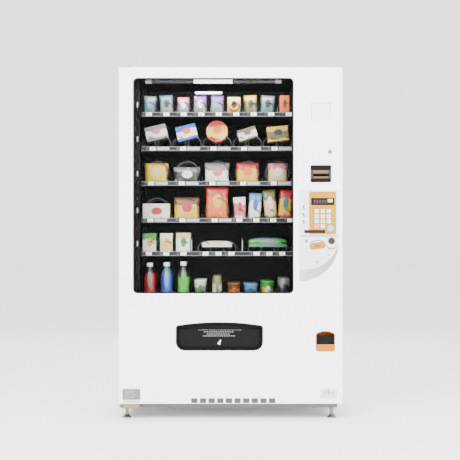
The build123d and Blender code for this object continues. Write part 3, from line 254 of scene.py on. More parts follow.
def surface_grain():
    """Node group: a colour with slow cloudiness, a roughness with fine grain, and the grain's height."""
    group = bpy.data.node_groups.get("surface_grain")
    if group:
        return group
    group = bpy.data.node_groups.new("surface_grain", "ShaderNodeTree")
    socket(group, "Colour", "INPUT", "NodeSocketColor", (0.8, 0.8, 0.8, 1.0))
    socket(group, "Grain scale", "INPUT", "NodeSocketFloat", 900.0)
    socket(group, "Cloud", "INPUT", "NodeSocketFloat", 0.06)
    socket(group, "Roughness", "INPUT", "NodeSocketFloat", 0.4)
    socket(group, "Stretch", "INPUT", "NodeSocketVector", (1.0, 1.0, 1.0))
    socket(group, "Colour", "OUTPUT", "NodeSocketColor")
    socket(group, "Roughness", "OUTPUT", "NodeSocketFloat")
    socket(group, "Height", "OUTPUT", "NodeSocketFloat")
    nodes = group.nodes
    inputs = nodes.new("NodeGroupInput")
    outputs = nodes.new("NodeGroupOutput")
    place = nodes.new("ShaderNodeTexCoord")
    stretch = maths(group, "MULTIPLY", kind=VECTORS)
    fine = put(nodes.new(NOISE), {"Detail": 4.0})
    cloud = put(nodes.new(NOISE), {"Scale": 3.0, "Detail": 3.0})
    shade = maths(group, "MULTIPLY_ADD")
    lower = maths(group, "MULTIPLY", -0.5)
    base = maths(group, "ADD", 1.0)
    tint = maths(group, "SCALE", kind=VECTORS)
    rough = maths(group, "MULTIPLY_ADD", 0.14)
    link(
        group,
        (place, "Object", stretch, 0),
        (inputs, "Stretch", stretch, 1),
        (stretch, 0, fine, "Vector"),
        (inputs, "Grain scale", fine, "Scale"),
        (place, "Object", cloud, "Vector"),
        (inputs, "Cloud", lower, 0),
        (lower, 0, base, 0),
        (cloud, "Fac", shade, 0),
        (inputs, "Cloud", shade, 1),
        (base, 0, shade, 2),
        (inputs, "Colour", tint, 0),
        (shade, 0, tint, "Scale"),
        (fine, "Fac", rough, 0),
        (inputs, "Roughness", rough, 2),
        (tint, 0, outputs, "Colour"),
        (rough, 0, outputs, "Roughness"),
        (fine, "Fac", outputs, "Height"),
    )
    return group


def pack_print():
    """Node group: a pack's printed face on its own UV map: field, band, emblem and small blots."""
    group = bpy.data.node_groups.get("pack_print")
    if group:
        return group
    group = bpy.data.node_groups.new("pack_print", "ShaderNodeTree")
    for name in ("Field", "Band", "Emblem"):
        socket(group, name, "INPUT", "NodeSocketColor", (0.8, 0.8, 0.8, 1.0))
    socket(group, "Seed", "INPUT", "NodeSocketFloat", 0.0)
    socket(group, "Colour", "OUTPUT", "NodeSocketColor")
    nodes = group.nodes
    inputs = nodes.new("NodeGroupInput")
    outputs = nodes.new("NodeGroupOutput")
    front = nodes.new("ShaderNodeUVMap")
    front.uv_map = "print"
    split = nodes.new("ShaderNodeSeparateXYZ")
    wobble = nodes.new(NOISE)
    wobble.noise_dimensions = "4D"
    put(wobble, {"Scale": 2.2})
    height = maths(group, "MULTIPLY_ADD", 0.5)
    band = nodes.new("ShaderNodeValToRGB")
    band.color_ramp.interpolation = "CONSTANT"
    band.color_ramp.elements[0].color = (1, 1, 1, 1)
    band.color_ramp.elements[1].position = 0.42
    band.color_ramp.elements[1].color = (0, 0, 0, 1)
    top = band.color_ramp.elements.new(0.95)
    top.color = (1, 1, 1, 1)
    away = maths(group, "DISTANCE", (0.52, 0.6, 0.0), VECTORS)
    emblem = maths(group, "LESS_THAN", 0.2)
    cells = nodes.new("ShaderNodeTexVoronoi")
    cells.voronoi_dimensions = "4D"
    put(cells, {"Scale": 5.0})
    blots = maths(group, "LESS_THAN", 0.2)
    first, second, third = colour_mix(group), colour_mix(group), colour_mix(group)
    link(
        group,
        (front, "UV", split, 0),
        (front, "UV", wobble, "Vector"),
        (inputs, "Seed", wobble, "W"),
        (wobble, "Fac", height, 0),
        (split, "Y", height, 2),
        (height, 0, band, "Fac"),
        (front, "UV", away, 0),
        (away, "Value", emblem, 0),
        (front, "UV", cells, "Vector"),
        (inputs, "Seed", cells, "W"),
        (cells, "Distance", blots, 0),
        (band, "Color", first, FACTOR),
        (inputs, "Field", first, MIX_A),
        (inputs, "Band", first, MIX_B),
        (blots, 0, second, FACTOR),
        (first, MIXED, second, MIX_A),
        (inputs, "Emblem", second, MIX_B),
        (emblem, 0, third, FACTOR),
        (second, MIXED, third, MIX_A),
        (inputs, "Emblem", third, MIX_B),
        (third, MIXED, outputs, "Colour"),
    )
    return group


def blank_material(name):
    """A new node material: itself, its tree and its shader."""
    material = bpy.data.materials.new(name)
    material.use_nodes = True
    return material, material.node_tree, material.node_tree.nodes["Principled BSDF"]


def add_grain(tree, shader, values, strength, distance):
    """Put the grain and a bump of its height before a shader; the grain's node comes back."""
    grain = tree.nodes.new("ShaderNodeGroup")
    grain.node_tree = surface_grain()
    put(grain, values)
    relief = put(tree.nodes.new("ShaderNodeBump"), {"Strength": strength, "Distance": distance})
    link(
        tree,
        (grain, "Colour", shader, "Base Color"),
        (grain, "Roughness", shader, "Roughness"),
        (grain, "Height", relief, "Height"),
        (relief, "Normal", shader, "Normal"),
    )
    return grain


def grained(
    name, colour, rough, bump=0.1, scale=900.0, cloud=0.06, metallic=0.0, coat=0.0, stretch=(1, 1, 1),
    shine=0.5,
):
    """A finish with fine grain, cloudiness and a low bump."""
    material = bpy.data.materials.get(name)
    if material:
        return material
    material, tree, shader = blank_material(name)
    add_grain(tree, shader, {
        "Colour": (*colour, 1.0), "Grain scale": scale, "Cloud": cloud,
        "Roughness": max(rough - 0.07, 0.02), "Stretch": stretch,
    }, bump, 0.0004)
    put(shader, {
        "Metallic": metallic, "Specular IOR Level": shine, "Coat Weight": coat, "Coat Roughness": 0.12,
    })
    return material


def plate_finish(settings):
    """Control plate: pale lacquer with a darker sweep along its round edge."""
    material = grained("plate_lacquer", settings.plate, 0.38, bump=0.05, coat=0.2)
    tree = material.node_tree
    grain = next(node for node in tree.nodes if node.type == "GROUP")
    low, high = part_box("control_plate")
    place = tree.nodes.new("ShaderNodeTexCoord")
    away = maths(tree, "DISTANCE", (low[0] + 0.029, (low[1] + high[1]) / 2, low[2] + 0.239), VECTORS)
    edge = put(tree.nodes.new("ShaderNodeMapRange"), {"From Min": 0.177, "From Max": 0.18})
    split = tree.nodes.new("ShaderNodeSeparateXYZ")
    below = maths(tree, "LESS_THAN", low[2] + 0.2)
    both = maths(tree, "MULTIPLY")
    fade = put(tree.nodes.new("ShaderNodeMapRange"), {
        "From Min": low[0], "From Max": high[0], "To Min": 0.55, "To Max": 1.0,
    })
    share = maths(tree, "MULTIPLY")
    mix = put(colour_mix(tree), {MIX_A: (*settings.plate, 1.0), MIX_B: (*settings.sweep, 1.0)})
    link(
        tree,
        (place, "Object", away, 0),
        (place, "Object", split, 0),
        (away, "Value", edge, "Value"),
        (split, "Z", below, 0),
        (split, "X", fade, "Value"),
        (edge, "Result", both, 0),
        (below, 0, both, 1),
        (both, 0, share, 0),
        (fade, "Result", share, 1),
        (share, 0, mix, FACTOR),
        (mix, MIXED, grain, "Colour"),
    )
    return material


def pane_finish():
    """Window pane: clear straight on, more of a mirror at a low angle."""
    material, tree, shader = blank_material("clear_pane")
    put(shader, {"Base Color": (0.01, 0.012, 0.012, 1.0), "Roughness": 0.03, "Specular IOR Level": 0.25})
    shine = put(tree.nodes.new("ShaderNodeLayerWeight"), {"Blend": 0.25})
    alpha = put(tree.nodes.new("ShaderNodeMapRange"), {"To Min": 0.02, "To Max": 0.3})
    link(tree, (shine, "Fresnel", alpha, "Value"), (alpha, "Result", shader, "Alpha"))
    return material


def printed(name, field, band, emblem, seed, rough):
    """A printed pack's film or board."""
    material, tree, shader = blank_material(name)
    ink = tree.nodes.new("ShaderNodeGroup")
    ink.node_tree = pack_print()
    put(ink, {"Field": (*field, 1.0), "Band": (*band, 1.0), "Emblem": (*emblem, 1.0), "Seed": seed})
    grain = add_grain(tree, shader, {"Grain scale": 260.0, "Roughness": rough}, 0.3, 0.001)
    link(tree, (ink, "Colour", grain, "Colour"))
    return material


def glowing(name, colour, strength):
    """A lit surface with a faint grain."""
    material = grained(name, colour, 0.4, bump=0.02)
    shader = material.node_tree.nodes["Principled BSDF"]
    put(shader, {"Emission Color": (*colour, 1.0), "Emission Strength": strength})
    return material


# ---------------------------------------------------------------- mesh helpers


UPRIGHT = Matrix.Rotation(math.radians(90), 4, "X")
SIDEWAYS = Matrix.Rotation(math.radians(90), 4, "Y")


def centre_of(node):
    """Middle of a CAD node's box."""
    low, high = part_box(node)
    return (Vector(low) + Vector(high)) / 2


def block(bm, low, high, bevel=0.0, segments=2):
    """Add a box between two corners, with rounded edges where a bevel is given."""
    low, high = Vector(low), Vector(high)
    size = high - low
    place = Matrix.Translation((low + high) / 2) @ Matrix.Diagonal((*size, 1.0))
    verts = bmesh.ops.create_cube(bm, size=1.0, matrix=place)["verts"]
    if not bevel:
        return
    edges = list({edge for vert in verts for edge in vert.link_edges})
    bmesh.ops.bevel(
        bm, geom=edges, offset=bevel, offset_type="OFFSET", segments=segments, profile=0.5, affect="EDGES",
        material=-1,
    )


def disc(bm, centre, radius, depth, segments=32, small=None):
    """Add a round plug along Y whose front stands at the centre given."""
    place = Matrix.Translation(Vector(centre) + Vector((0, depth / 2, 0))) @ UPRIGHT
    bmesh.ops.create_cone(
        bm, cap_ends=True, segments=segments, radius1=radius, radius2=radius if small is None else small,
        depth=depth, matrix=place,
    )


def lathe(bm, profile, steps=28):
    """Turn a (radius, height) profile about Z."""
    verts = [bm.verts.new((radius, 0.0, height)) for radius, height in profile]
    edges = [bm.edges.new(pair) for pair in zip(verts, verts[1:])]
    bmesh.ops.spin(
        bm, geom=verts + edges, cent=(0, 0, 0), axis=(0, 0, 1), angle=math.tau, steps=steps, use_merge=True,
        use_duplicate=False,
    )
    bmesh.ops.remove_doubles(bm, verts=bm.verts, dist=0.00001)
    bmesh.ops.recalc_face_normals(bm, faces=bm.faces)


def chart(bm, low, size):
    """Give every face a front-on UV map named print."""
    layer = bm.loops.layers.uv.new("print")
    for face in bm.faces:
        for loop in face.loops:
            loop[layer].uv = ((loop.vert.co.x - low[0]) / size[0], (loop.vert.co.z - low[1]) / size[1])


def finish_piece(bm, name, body, material, smooth=False):
    """Turn a bmesh into a piece that rides on a body."""
    mesh = bpy.data.meshes.new(name)
    bm.to_mesh(mesh)
    bm.free()
    mesh.materials.append(material)
    if smooth:
        mesh.polygons.foreach_set("use_smooth", [True] * len(mesh.polygons))
    piece = bpy.data.objects.new(name, mesh)
    bpy.context.scene.collection.objects.link(piece)
    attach(piece, body)


def blocks(name, body, material, corners, bevel=0.0, segments=2, smooth=False):
    """Make a piece of boxes, each given by its two corners."""
    bm = bmesh.new()
    for low, high in corners:
        block(bm, low, high, bevel, segments)
    finish_piece(bm, name, body, material, smooth)


def joint_at(name):
    """Where a joint stands."""
    return next(joint for joint in frame["joints"] if joint["name"] == name)["pos_m"]


def coat_node(name, material):
    """Give a CAD node's object its finish."""
    node = frame["nodes"][name]
    if not node.material_slots:
        node.data.materials.append(material)
    for holder in node.material_slots:
        holder.material = material


def lane_middles(tray):
    """(x, width) of every lane of a tray, from its box."""
    low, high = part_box(f"tray_{tray}")
    total = sum(LANES[tray])
    left = low[0]
    lanes = []
    for weight in LANES[tray]:
        width = (high[0] - low[0]) * weight / total
        lanes.append((left + width / 2, width))
        left += width
    return lanes


# ---------------------------------------------------------------- packs


def pouch(width, height, thickness):
    """A pillow pouch: full in the middle, flat and crimped at its top and bottom seals."""
    bm = bmesh.new()
    bmesh.ops.create_cube(bm, size=1.0)
    bmesh.ops.subdivide_edges(bm, edges=bm.edges, cuts=11, use_grid_fill=True)
    for vert in bm.verts:
        across, up = vert.co.x * 2, vert.co.z * 2
        full = math.sqrt(max(1 - abs(up) ** 3.2, 0.0)) * math.sqrt(max(1 - abs(across) ** 4, 0.0))
        crease = 0.10 * noise.noise(Vector((across * 2.2, vert.co.y * 3, up * 2.6 + width * 90)))
        vert.co.y *= 0.05 + 0.95 * full + crease * full
        vert.co.x *= 1 - 0.05 * (1 - abs(up)) + 0.02 * math.cos(up * 9)
        if abs(up) > 0.85:
            vert.co.y += 0.02 * math.sin(across * 26)
    bmesh.ops.scale(bm, vec=(width, thickness, height), verts=bm.verts)
    return bm


def carton(width, height, thickness):
    """A folded carton with a lid seam."""
    bm = bmesh.new()
    corner = Vector((width / 2, thickness / 2, height / 2))
    block(bm, -corner, corner, 0.0016)
    bmesh.ops.bisect_plane(
        bm, geom=bm.verts[:] + bm.edges[:] + bm.faces[:], plane_co=(0, 0, height * 0.36), plane_no=(0, 0, 1),
    )
    return bm


def tub(width, height, thickness):
    """A round lidded tub seen from its lid."""
    bm = bmesh.new()
    lathe(bm, (
        (0.0, 0.0), (width * 0.42, 0.0), (width * 0.45, thickness * 0.7), (width / 2, thickness * 0.72),
        (width / 2, thickness * 0.9), (width * 0.47, thickness * 0.93), (width * 0.45, thickness * 0.88),
        (0.0, thickness * 0.86),
    ), 36)
    bmesh.ops.rotate(bm, verts=bm.verts, cent=(0, 0, 0), matrix=Matrix.Rotation(math.radians(90), 3, "X"))
    bmesh.ops.scale(bm, vec=(1.0, 1.0, height / width), verts=bm.verts)
    bmesh.ops.translate(bm, vec=(0, thickness / 2, 0), verts=bm.verts)
    return bm


def ring(width, height, thickness):
    """A ring cake in a clear-fronted pack: a soft square card with the ring on it."""
    bm = bmesh.new()
    block(bm, (-width / 2, thickness * 0.2, -height / 2), (width / 2, thickness * 0.45, height / 2), 0.003)
    major, minor = width * 0.3, width * 0.15
    verts = bmesh.ops.create_circle(
        bm, segments=14, radius=minor, matrix=Matrix.Translation((major, 0, height * 0.08)),
    )["verts"]
    edges = list({edge for vert in verts for edge in vert.link_edges})
    bmesh.ops.spin(
        bm, geom=verts + edges, cent=(0, 0, height * 0.08), axis=(0, 1, 0), angle=math.tau, steps=28,
        use_merge=True,
    )
    bmesh.ops.remove_doubles(bm, verts=bm.verts, dist=0.00001)
    bmesh.ops.recalc_face_normals(bm, faces=bm.faces)
    return bm


def loaf(width, height, thickness):
    """A long soft loaf in film on a low tray."""
    bm = bmesh.new()
    bmesh.ops.create_uvsphere(bm, u_segments=28, v_segments=14, radius=0.5)
    for vert in bm.verts:
        vert.co.z = max(vert.co.z, -0.32)
        vert.co.x = math.copysign(abs(vert.co.x * 2) ** 0.55 / 2, vert.co.x)
    bmesh.ops.scale(bm, vec=(width, thickness * 1.05, height * 0.9), verts=bm.verts)
    low = -height / 2
    block(bm, (-width * 0.48, -thickness * 0.5, low),
          (width * 0.48, thickness * 0.5, low + height * 0.28), 0.002)
    return bm


def bottle(width, height, thickness):
    """A soft-drink bottle: waisted body, shoulder and neck; its cap is a piece of its own."""
    bm = bmesh.new()
    r, low = width / 2, -height / 2
    lathe(bm, (
        (0.0, low), (r * 0.8, low), (r * 0.97, low + 0.008), (r, low + height * 0.3),
        (r * 0.93, low + height * 0.4),
        (r, low + height * 0.5), (r * 0.98, low + height * 0.68), (r * 0.7, low + height * 0.8),
        (r * 0.42, low + height * 0.87), (r * 0.42, low + height * 0.905), (r * 0.52, low + height * 0.91),
        (r * 0.52, low + height * 0.99), (r * 0.45, low + height), (0.0, low + height),
    ))
    return bm


def cup(width, height, thickness):
    """A tapered cup with a rolled rim and a film lid."""
    bm = bmesh.new()
    r, low, high = width / 2, -height / 2, height / 2
    lathe(bm, (
        (0.0, low), (r * 0.72, low), (r * 0.74, low + 0.004), (r * 0.95, high - 0.008), (r, high - 0.006),
        (r, high - 0.002), (r * 0.96, high), (0.0, high - 0.001),
    ))
    return bm


def can(width, height, thickness):
    """A drinks can or round tin with necked ends."""
    bm = bmesh.new()
    r, low, high = width / 2, -height / 2, height / 2
    lathe(bm, (
        (0.0, low + 0.003), (r * 0.8, low), (r, low + 0.008), (r, high - 0.012), (r * 0.86, high - 0.002),
        (r * 0.84, high), (r * 0.8, high - 0.003), (0.0, high - 0.003),
    ))
    return bm


FORMS = {form.__name__: form for form in (pouch, carton, tub, ring, loaf, bottle, cup, can)}
ROUND = ("bottle", "cup", "can")
CAP_R = 0.0166
CAP_HEIGHT = 0.021
CAP_EDGE = 0.002
RAISED = {2: 0.046, (5, "loaf"): 0.045}  # these packs rest on top of their paired coils


def stock_tray(tray, settings):
    """Fill one tray: a row of packs in every lane, all riding on the tray."""
    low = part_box(f"tray_{tray}")[0]
    floor = low[2] + PAN
    for number, (lane, product) in enumerate(zip(lane_middles(tray), GOODS[tray]), start=1):
        form, width, height, field, band, emblem, tilt = product
        thickness = width if form in ROUND else settings.thickness
        bm = FORMS[form](width, height, thickness)
        chart(bm, (-width / 2, -height / 2), (width, height))
        if tilt:
            lean = Matrix.Rotation(math.radians(tilt), 3, "Y")
            bmesh.ops.rotate(bm, verts=bm.verts, cent=(0, 0, 0), matrix=lean)
        bottom = min(vert.co.z for vert in bm.verts) - RAISED.get((tray, form), RAISED.get(tray, 0.0))
        step = COIL_PITCH * math.ceil((thickness + PACK_GAP) / COIL_PITCH)
        first = low[1] + 0.005 + max(COIL_PITCH, thickness + 2 * PACK_GAP) / 2
        bmesh.ops.translate(bm, vec=(lane[0], first, floor - bottom), verts=bm.verts)
        base = bm.verts[:] + bm.edges[:] + bm.faces[:]
        for row in range(1, settings.deep):
            made = bmesh.ops.duplicate(bm, geom=base)["geom"]
            verts = [item for item in made if isinstance(item, bmesh.types.BMVert)]
            bmesh.ops.translate(bm, vec=(0, step * row, 0), verts=verts)
        if form == "bottle":
            cap = bmesh.new()
            lathe(cap, (
                (0.0, 0.0), (CAP_R, 0.0), (CAP_R, CAP_HEIGHT - CAP_EDGE), (CAP_R - CAP_EDGE, CAP_HEIGHT),
                (0.0, CAP_HEIGHT),
            ))
            foot = floor - bottom + height / 2 - CAP_HEIGHT + 0.0006
            bmesh.ops.translate(cap, vec=(lane[0], first, foot), verts=cap.verts)
            white = grained("bottle_cap", (0.6, 0.6, 0.6), 0.4)
            finish_piece(cap, f"bottle_cap_{number}", f"tray_{tray}", white, smooth=True)
        film = printed(f"pack_{tray}_{number}", field, band, emblem, tray * 3.1 + number * 1.7, 0.3)
        smooth = form != "carton"
        finish_piece(bm, f"goods_{tray}_{number}", f"tray_{tray}", film, smooth)


# ---------------------------------------------------------------- operators


class VENDING_OT_finishes(bpy.types.Operator):
    """Give every CAD node its finish"""

    bl_idname = "vending.finishes"
    bl_label = "Machine finishes"

    def execute(self, context):
        settings = context.scene.vending_finish
        paint = grained("powder_coat", settings.paint, 0.42, bump=0.06, scale=520.0, cloud=0.03, coat=0.15)
        zinc = grained(
            "zinc_plate", (0.42, 0.39, 0.32), 0.38, bump=0.15, cloud=0.3, metallic=1.0, stretch=(1, 1, 12),
        )
        steel = grained("dark_tray_steel", (0.01, 0.01, 0.011), 0.45, bump=0.1, cloud=0.2, shine=0.2)
        inner = grained("chamber_wall", settings.interior, 0.6, bump=0.12, cloud=0.2, shine=0.25)
        black = grained(
            "moulded_black", (0.0025, 0.002, 0.0025), 0.45, bump=0.25, scale=1400.0, cloud=0.12, shine=0.1,
        )
        fins = grained(
            "finned_aluminium", (0.55, 0.56, 0.58), 0.35, bump=0.9, scale=60.0, metallic=1.0,
            stretch=(14, 1, 0.1),
        )
        coats = {
            "door_skin": paint,
            "cabinet_shell": paint,
            "reader_blank": grained("blank_cover", (0.88, 0.885, 0.89), 0.45, bump=0.05),
            "door_liner": grained("door_foam_skin", (0.05, 0.05, 0.052), 0.6, bump=0.1),
            "cabinet_liner": inner,
            "base_frame": grained("frame_paint", (0.11, 0.112, 0.115), 0.5, bump=0.15, cloud=0.2),
            "levelling_feet": grained("foot_zinc", (0.2, 0.19, 0.175), 0.36, cloud=0.3, metallic=1.0),
            "hinge_brackets": grained("bracket_zinc", (0.33, 0.28, 0.18), 0.4, cloud=0.4, metallic=1.0),
            "tray_runners": grained("upright_steel", (0.008, 0.008, 0.008), 0.4, cloud=0.2, shine=0.2),
            "delivery_bin": steel,
            "compressor": grained("compressor_enamel", (0.012, 0.012, 0.012), 0.25, coat=0.4),
            "condenser": fins,
            "evaporator": fins,
            "condenser_fan": black,
            "evaporator_fan": black,
            "power_box": grained("box_grey", (0.2, 0.2, 0.21), 0.5, bump=0.2),
            "window_glass": pane_finish(),
            "window_trim": grained(
                "window_rubber", (0.003, 0.003, 0.003), 0.5, bump=0.1, cloud=0.2, shine=0.15,
            ),
            "control_plate": plate_finish(settings),
            "keypad_panel": grained("panel_orange", settings.panel, 0.4, bump=0.08, cloud=0.1, shine=0.3),
            "display_lens": grained("display_smoke", (0.002, 0.002, 0.003), 0.2, bump=0.02, shine=0.3),
            "coin_slot_bezel": grained(
                "slot_yellow", (0.36, 0.17, 0.001), 0.35, bump=0.08, cloud=0.15, shine=0.35,
            ),
            "bill_validator": black,
            "coin_mechanism": grained("mech_grey", (0.05, 0.05, 0.055), 0.5, bump=0.2),
            "coin_return_cup": grained(
                "cup_orange", (0.36, 0.12, 0.0), 0.4, bump=0.08, cloud=0.12, shine=0.3,
            ),
            "coin_return_flap": grained("flap_smoke", (0.004, 0.003, 0.002), 0.4, shine=0.1),
            "coin_return_lever": grained("lever_brown", (0.03, 0.016, 0.011), 0.4, shine=0.3),
            "delivery_bezel": black,
            "delivery_flap": grained(
                "flap_black", (0.003, 0.0022, 0.0027), 0.45, bump=0.2, scale=1400.0, cloud=0.1, shine=0.1,
            ),
            "light_bar": grained("lamp_reflector", (0.05, 0.05, 0.055), 0.35),
            "lock_barrel": grained("lock_chrome", (0.3, 0.3, 0.3), 0.25, metallic=1.0),
            "latch_bar": zinc,
            "key_cancel": grained("key_red", (0.3, 0.02, 0.012), 0.4, shine=0.3),
            "key_select": grained("key_blue", (0.006, 0.07, 0.2), 0.4, shine=0.3),
        }
        coil = grained("coil_black", (0.006, 0.006, 0.006), 0.35, shine=0.4)
        key = grained("key_ivory", (0.8, 0.78, 0.7), 0.42, bump=0.1, scale=1600.0)
        for name in frame["nodes"]:
            if name in coats:
                coat_node(name, coats[name])
            elif name.startswith("coil"):
                coat_node(name, coil)
            elif name.startswith("tray"):
                coat_node(name, steel)
            elif name.startswith("key"):
                coat_node(name, key)
            else:
                raise RuntimeError(f"no finish for {name}")
        return {"FINISHED"}


class VENDING_OT_goods(bpy.types.Operator):
    """Stock the six trays with generic packs"""

    bl_idname = "vending.goods"
    bl_label = "Goods on the trays"

    def execute(self, context):
        for tray in GOODS:
            stock_tray(tray, context.scene.vending_goods)
        return {"FINISHED"}


class VENDING_OT_price_tags(bpy.types.Operator):
    """Price tags and test buttons on every tray's front rail"""

    bl_idname = "vending.price_tags"
    bl_label = "Price tags"

    def execute(self, context):
        # painted light: the price cards get a faint glow so they read bright, though they are no lamp
        card = glowing("tag_card", (0.8, 0.8, 0.78), 0.35)
        ink = grained("tag_ink", (0.08, 0.08, 0.1), 0.5)
        dome = grained("tag_button", (0.03, 0.03, 0.03), 0.3, coat=0.4)
        sleeve = grained("tag_sleeve", (0.3, 0.31, 0.33), 0.4, cloud=0.5)
        holder = grained("tag_holder", (0.2, 0.21, 0.22), 0.35, coat=0.3)
        for tray in LANES:
            low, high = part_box(f"tray_{tray}")
            front, middle = low[1], low[2] + 0.0125
            cards, prints, domes = bmesh.new(), bmesh.new(), bmesh.new()
            strip, sleeves = bmesh.new(), bmesh.new()
            for ahead, behind, bottom, top in (
                (0.0012, 0.0004, 0.001, 0.003), (0.0004, 0.002, 0.0215, 0.0235),
            ):
                block(strip, (low[0] + 0.004, front - ahead, low[2] + bottom),
                      (high[0] - 0.004, front + behind, low[2] + top), 0.0004)
            for index, (x, width) in enumerate(lane_middles(tray)):
                drift = TAG_DRIFT[tray][0] + TAG_DRIFT[tray][1] * index
                places = (x + drift,) if width < 0.24 else (x - 0.06, x + 0.008, x + 0.076)
                for place in places:
                    disc(domes, (place - 0.028, front - 0.0045, middle), 0.0062, 0.004, 20, 0.0074)
                    block(cards, (place - 0.015, front - 0.0024, middle - 0.0085),
                          (place + 0.015, front - 0.0006, middle + 0.0085), 0.0005)
                    for line, length in ((0.0036, 0.022), (-0.0002, 0.013), (-0.0042, 0.018)):
                        block(prints, (place - length / 2, front - 0.0027, middle + line - 0.0008),
                              (place + length / 2, front - 0.0022, middle + line + 0.0008))
                    if 0.12 < width < 0.24:
                        block(sleeves, (place + 0.022, front - 0.0022, middle - 0.0075),
                              (place + 0.088, front - 0.0006, middle + 0.0075), 0.0005)
            body = f"tray_{tray}"
            finish_piece(strip, f"tag_strip_{tray}", body, holder)
            finish_piece(cards, f"price_tags_{tray}", body, card)
            if sleeves.verts:
                finish_piece(sleeves, f"tag_sleeves_{tray}", body, sleeve)
            else:
                sleeves.free()
            finish_piece(prints, f"tag_prints_{tray}", body, ink)
            finish_piece(domes, f"tag_buttons_{tray}", body, dome)
        return {"FINISHED"}


class VENDING_OT_key_digits(bpy.types.Operator):
    """Digits on the ten number keys"""

    bl_idname = "vending.key_digits"
    bl_label = "Key digits"

    def execute(self, context):
        ink = grained("digit_ink", (0.03, 0.06, 0.09), 0.5)
        for digit in range(10):
            low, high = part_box(f"key_{digit}")
            curve = bpy.data.curves.new(f"digit_{digit}", "FONT")
            curve.body = str(digit)
            curve.size = 0.0165
            curve.extrude = 0.0001
            curve.offset = 0.0003
            curve.align_x = "CENTER"
            curve.align_y = "CENTER"
            letter = bpy.data.objects.new(f"digit_curve_{digit}", curve)
            context.scene.collection.objects.link(letter)
            context.view_layer.update()
            mesh = bpy.data.meshes.new_from_object(letter)
            bpy.data.objects.remove(letter)
            middle = Vector(((low[0] + high[0]) / 2, low[1] - 0.0001, (low[2] + high[2]) / 2))
            mesh.transform(Matrix.Translation(middle) @ UPRIGHT)
            mesh.materials.clear()
            mesh.materials.append(ink)
            piece = bpy.data.objects.new(f"digit_{digit}", mesh)
            context.scene.collection.objects.link(piece)
            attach(piece, f"key_{digit}")
        return {"FINISHED"}


class VENDING_OT_control_marks(bpy.types.Operator):
    """Generic marks, screws and printed shapes on the control plate"""

    bl_idname = "vending.control_marks"
    bl_label = "Control plate marks"

    def execute(self, context):
        low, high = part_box("control_plate")
        face = low[1]
        dark = grained("mark_black", (0.006, 0.005, 0.005), 0.45, shine=0.2)
        grey = grained("mark_grey", (0.05, 0.05, 0.055), 0.5)
        rose = grained("mark_rose", (0.16, 0.022, 0.018), 0.5)
        amber = grained("mark_amber", (0.3, 0.06, 0.004), 0.45)
        blue = grained("mark_blue", (0.04, 0.13, 0.26), 0.5)
        screw = grained("screw_zinc", (0.3, 0.3, 0.3), 0.3, metallic=1.0)
        panel_front, panel_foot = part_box("keypad_panel")[0][1:]
        slot_low, slot_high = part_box("coin_slot_bezel")
        lever = centre_of("coin_return_lever")

        blocks("pad_caption_strip", "door", dark, [(
            (low[0] + 0.023, panel_front - 0.0016, panel_foot + 0.006),
            (low[0] + 0.131, panel_front - 0.0002, panel_foot + 0.022),
        )], 0.0006)

        bm = bmesh.new()
        block(bm, (low[0] + 0.007, face - 0.0006, panel_foot - 0.0105),
              (high[0] - 0.004, face + SINK, panel_foot - 0.0065))
        for height in (0.138, 0.098, 0.065):
            at = panel_foot + height
            disc(bm, (low[0] + 0.02, face - SKIN, at + 0.004), 0.0055, MARK, 16)
            for line in range(2):
                block(bm, (low[0] + 0.013, face - SKIN, at - 0.006 - line * 0.005),
                      (low[0] + 0.034 - line * 0.006, face + SINK, at - 0.004 - line * 0.005))
        finish_piece(bm, "plate_guide_marks", "door", grey)

        # Two arcs of nine dashes: start and step in degrees, middle, radii, and half a dash
        for name, slot, ink, start, turn, middle, radii, half in (
            ("coin_guide_arc", "key_red", rose, 60, 12, (slot_low[0] + 0.045, slot_high[2] - 0.026),
             (0.044, 0.032), (0.0045, 0.0022)),
            ("return_guide_arc", "orange_panel", amber, 215, 13, (lever.x, lever.z - 0.012),
             (0.026, 0.03), (0.004, 0.0024)),
        ):
            dashes = []
            for dash in range(9):
                angle = math.radians(start + dash * turn)
                across, up = radii[0] * math.cos(angle), radii[1] * math.sin(angle)
                at = Vector((middle[0] + across, face - SKIN, middle[1] + up))
                dashes.append((at - Vector((half[0], 0, half[1])), at + Vector((half[0], MARK, half[1]))))
            blocks(name, "door", ink, dashes)

        bm = bmesh.new()
        disc(bm, (low[0] + 0.035, face - SKIN, lever.z - 0.002), 0.0075, MARK, 20)
        finish_piece(bm, "coin_guide_dot", "door", blue)

        bm = bmesh.new()
        for x, z in ((low[0] + 0.148, low[2] + 0.135), (low[0] + 0.09, low[2] + 0.097)):
            disc(bm, (x, face - 0.0016, z), 0.0036, 0.0018, 20, 0.0046)
            block(bm, (x - 0.003, face - 0.0018, z - 0.0004), (x + 0.003, face - 0.0015, z + 0.0004))
        finish_piece(bm, "plate_screws", "door", screw)
        return {"FINISHED"}


class VENDING_OT_display(bpy.types.Operator):
    """Lit figures behind the display lens"""

    bl_idname = "vending.display"
    bl_label = "Display figures"

    def execute(self, context):
        low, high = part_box("display_lens")
        front, back = low[1] - 0.0003, low[1] + 0.0004
        lit = glowing("display_lit", (0.55, 0.4, 0.2), 0.4)
        dim = glowing("display_dim", (0.05, 0.008, 0.016), 0.1)
        blocks("display_window", "door", lit, [
            ((high[0] - 0.034, front, low[2] + 0.014), (high[0] - 0.009, back, high[2] - 0.005)),
        ], 0.0002)
        lefts = [low[0] + 0.014 + index * 0.014 for index in range(5)]
        blocks("display_segments", "door", dim, [
            ((left, front, low[2] + 0.009), (left + 0.008, back, high[2] - 0.009)) for left in lefts
        ], 0.0002)
        return {"FINISHED"}


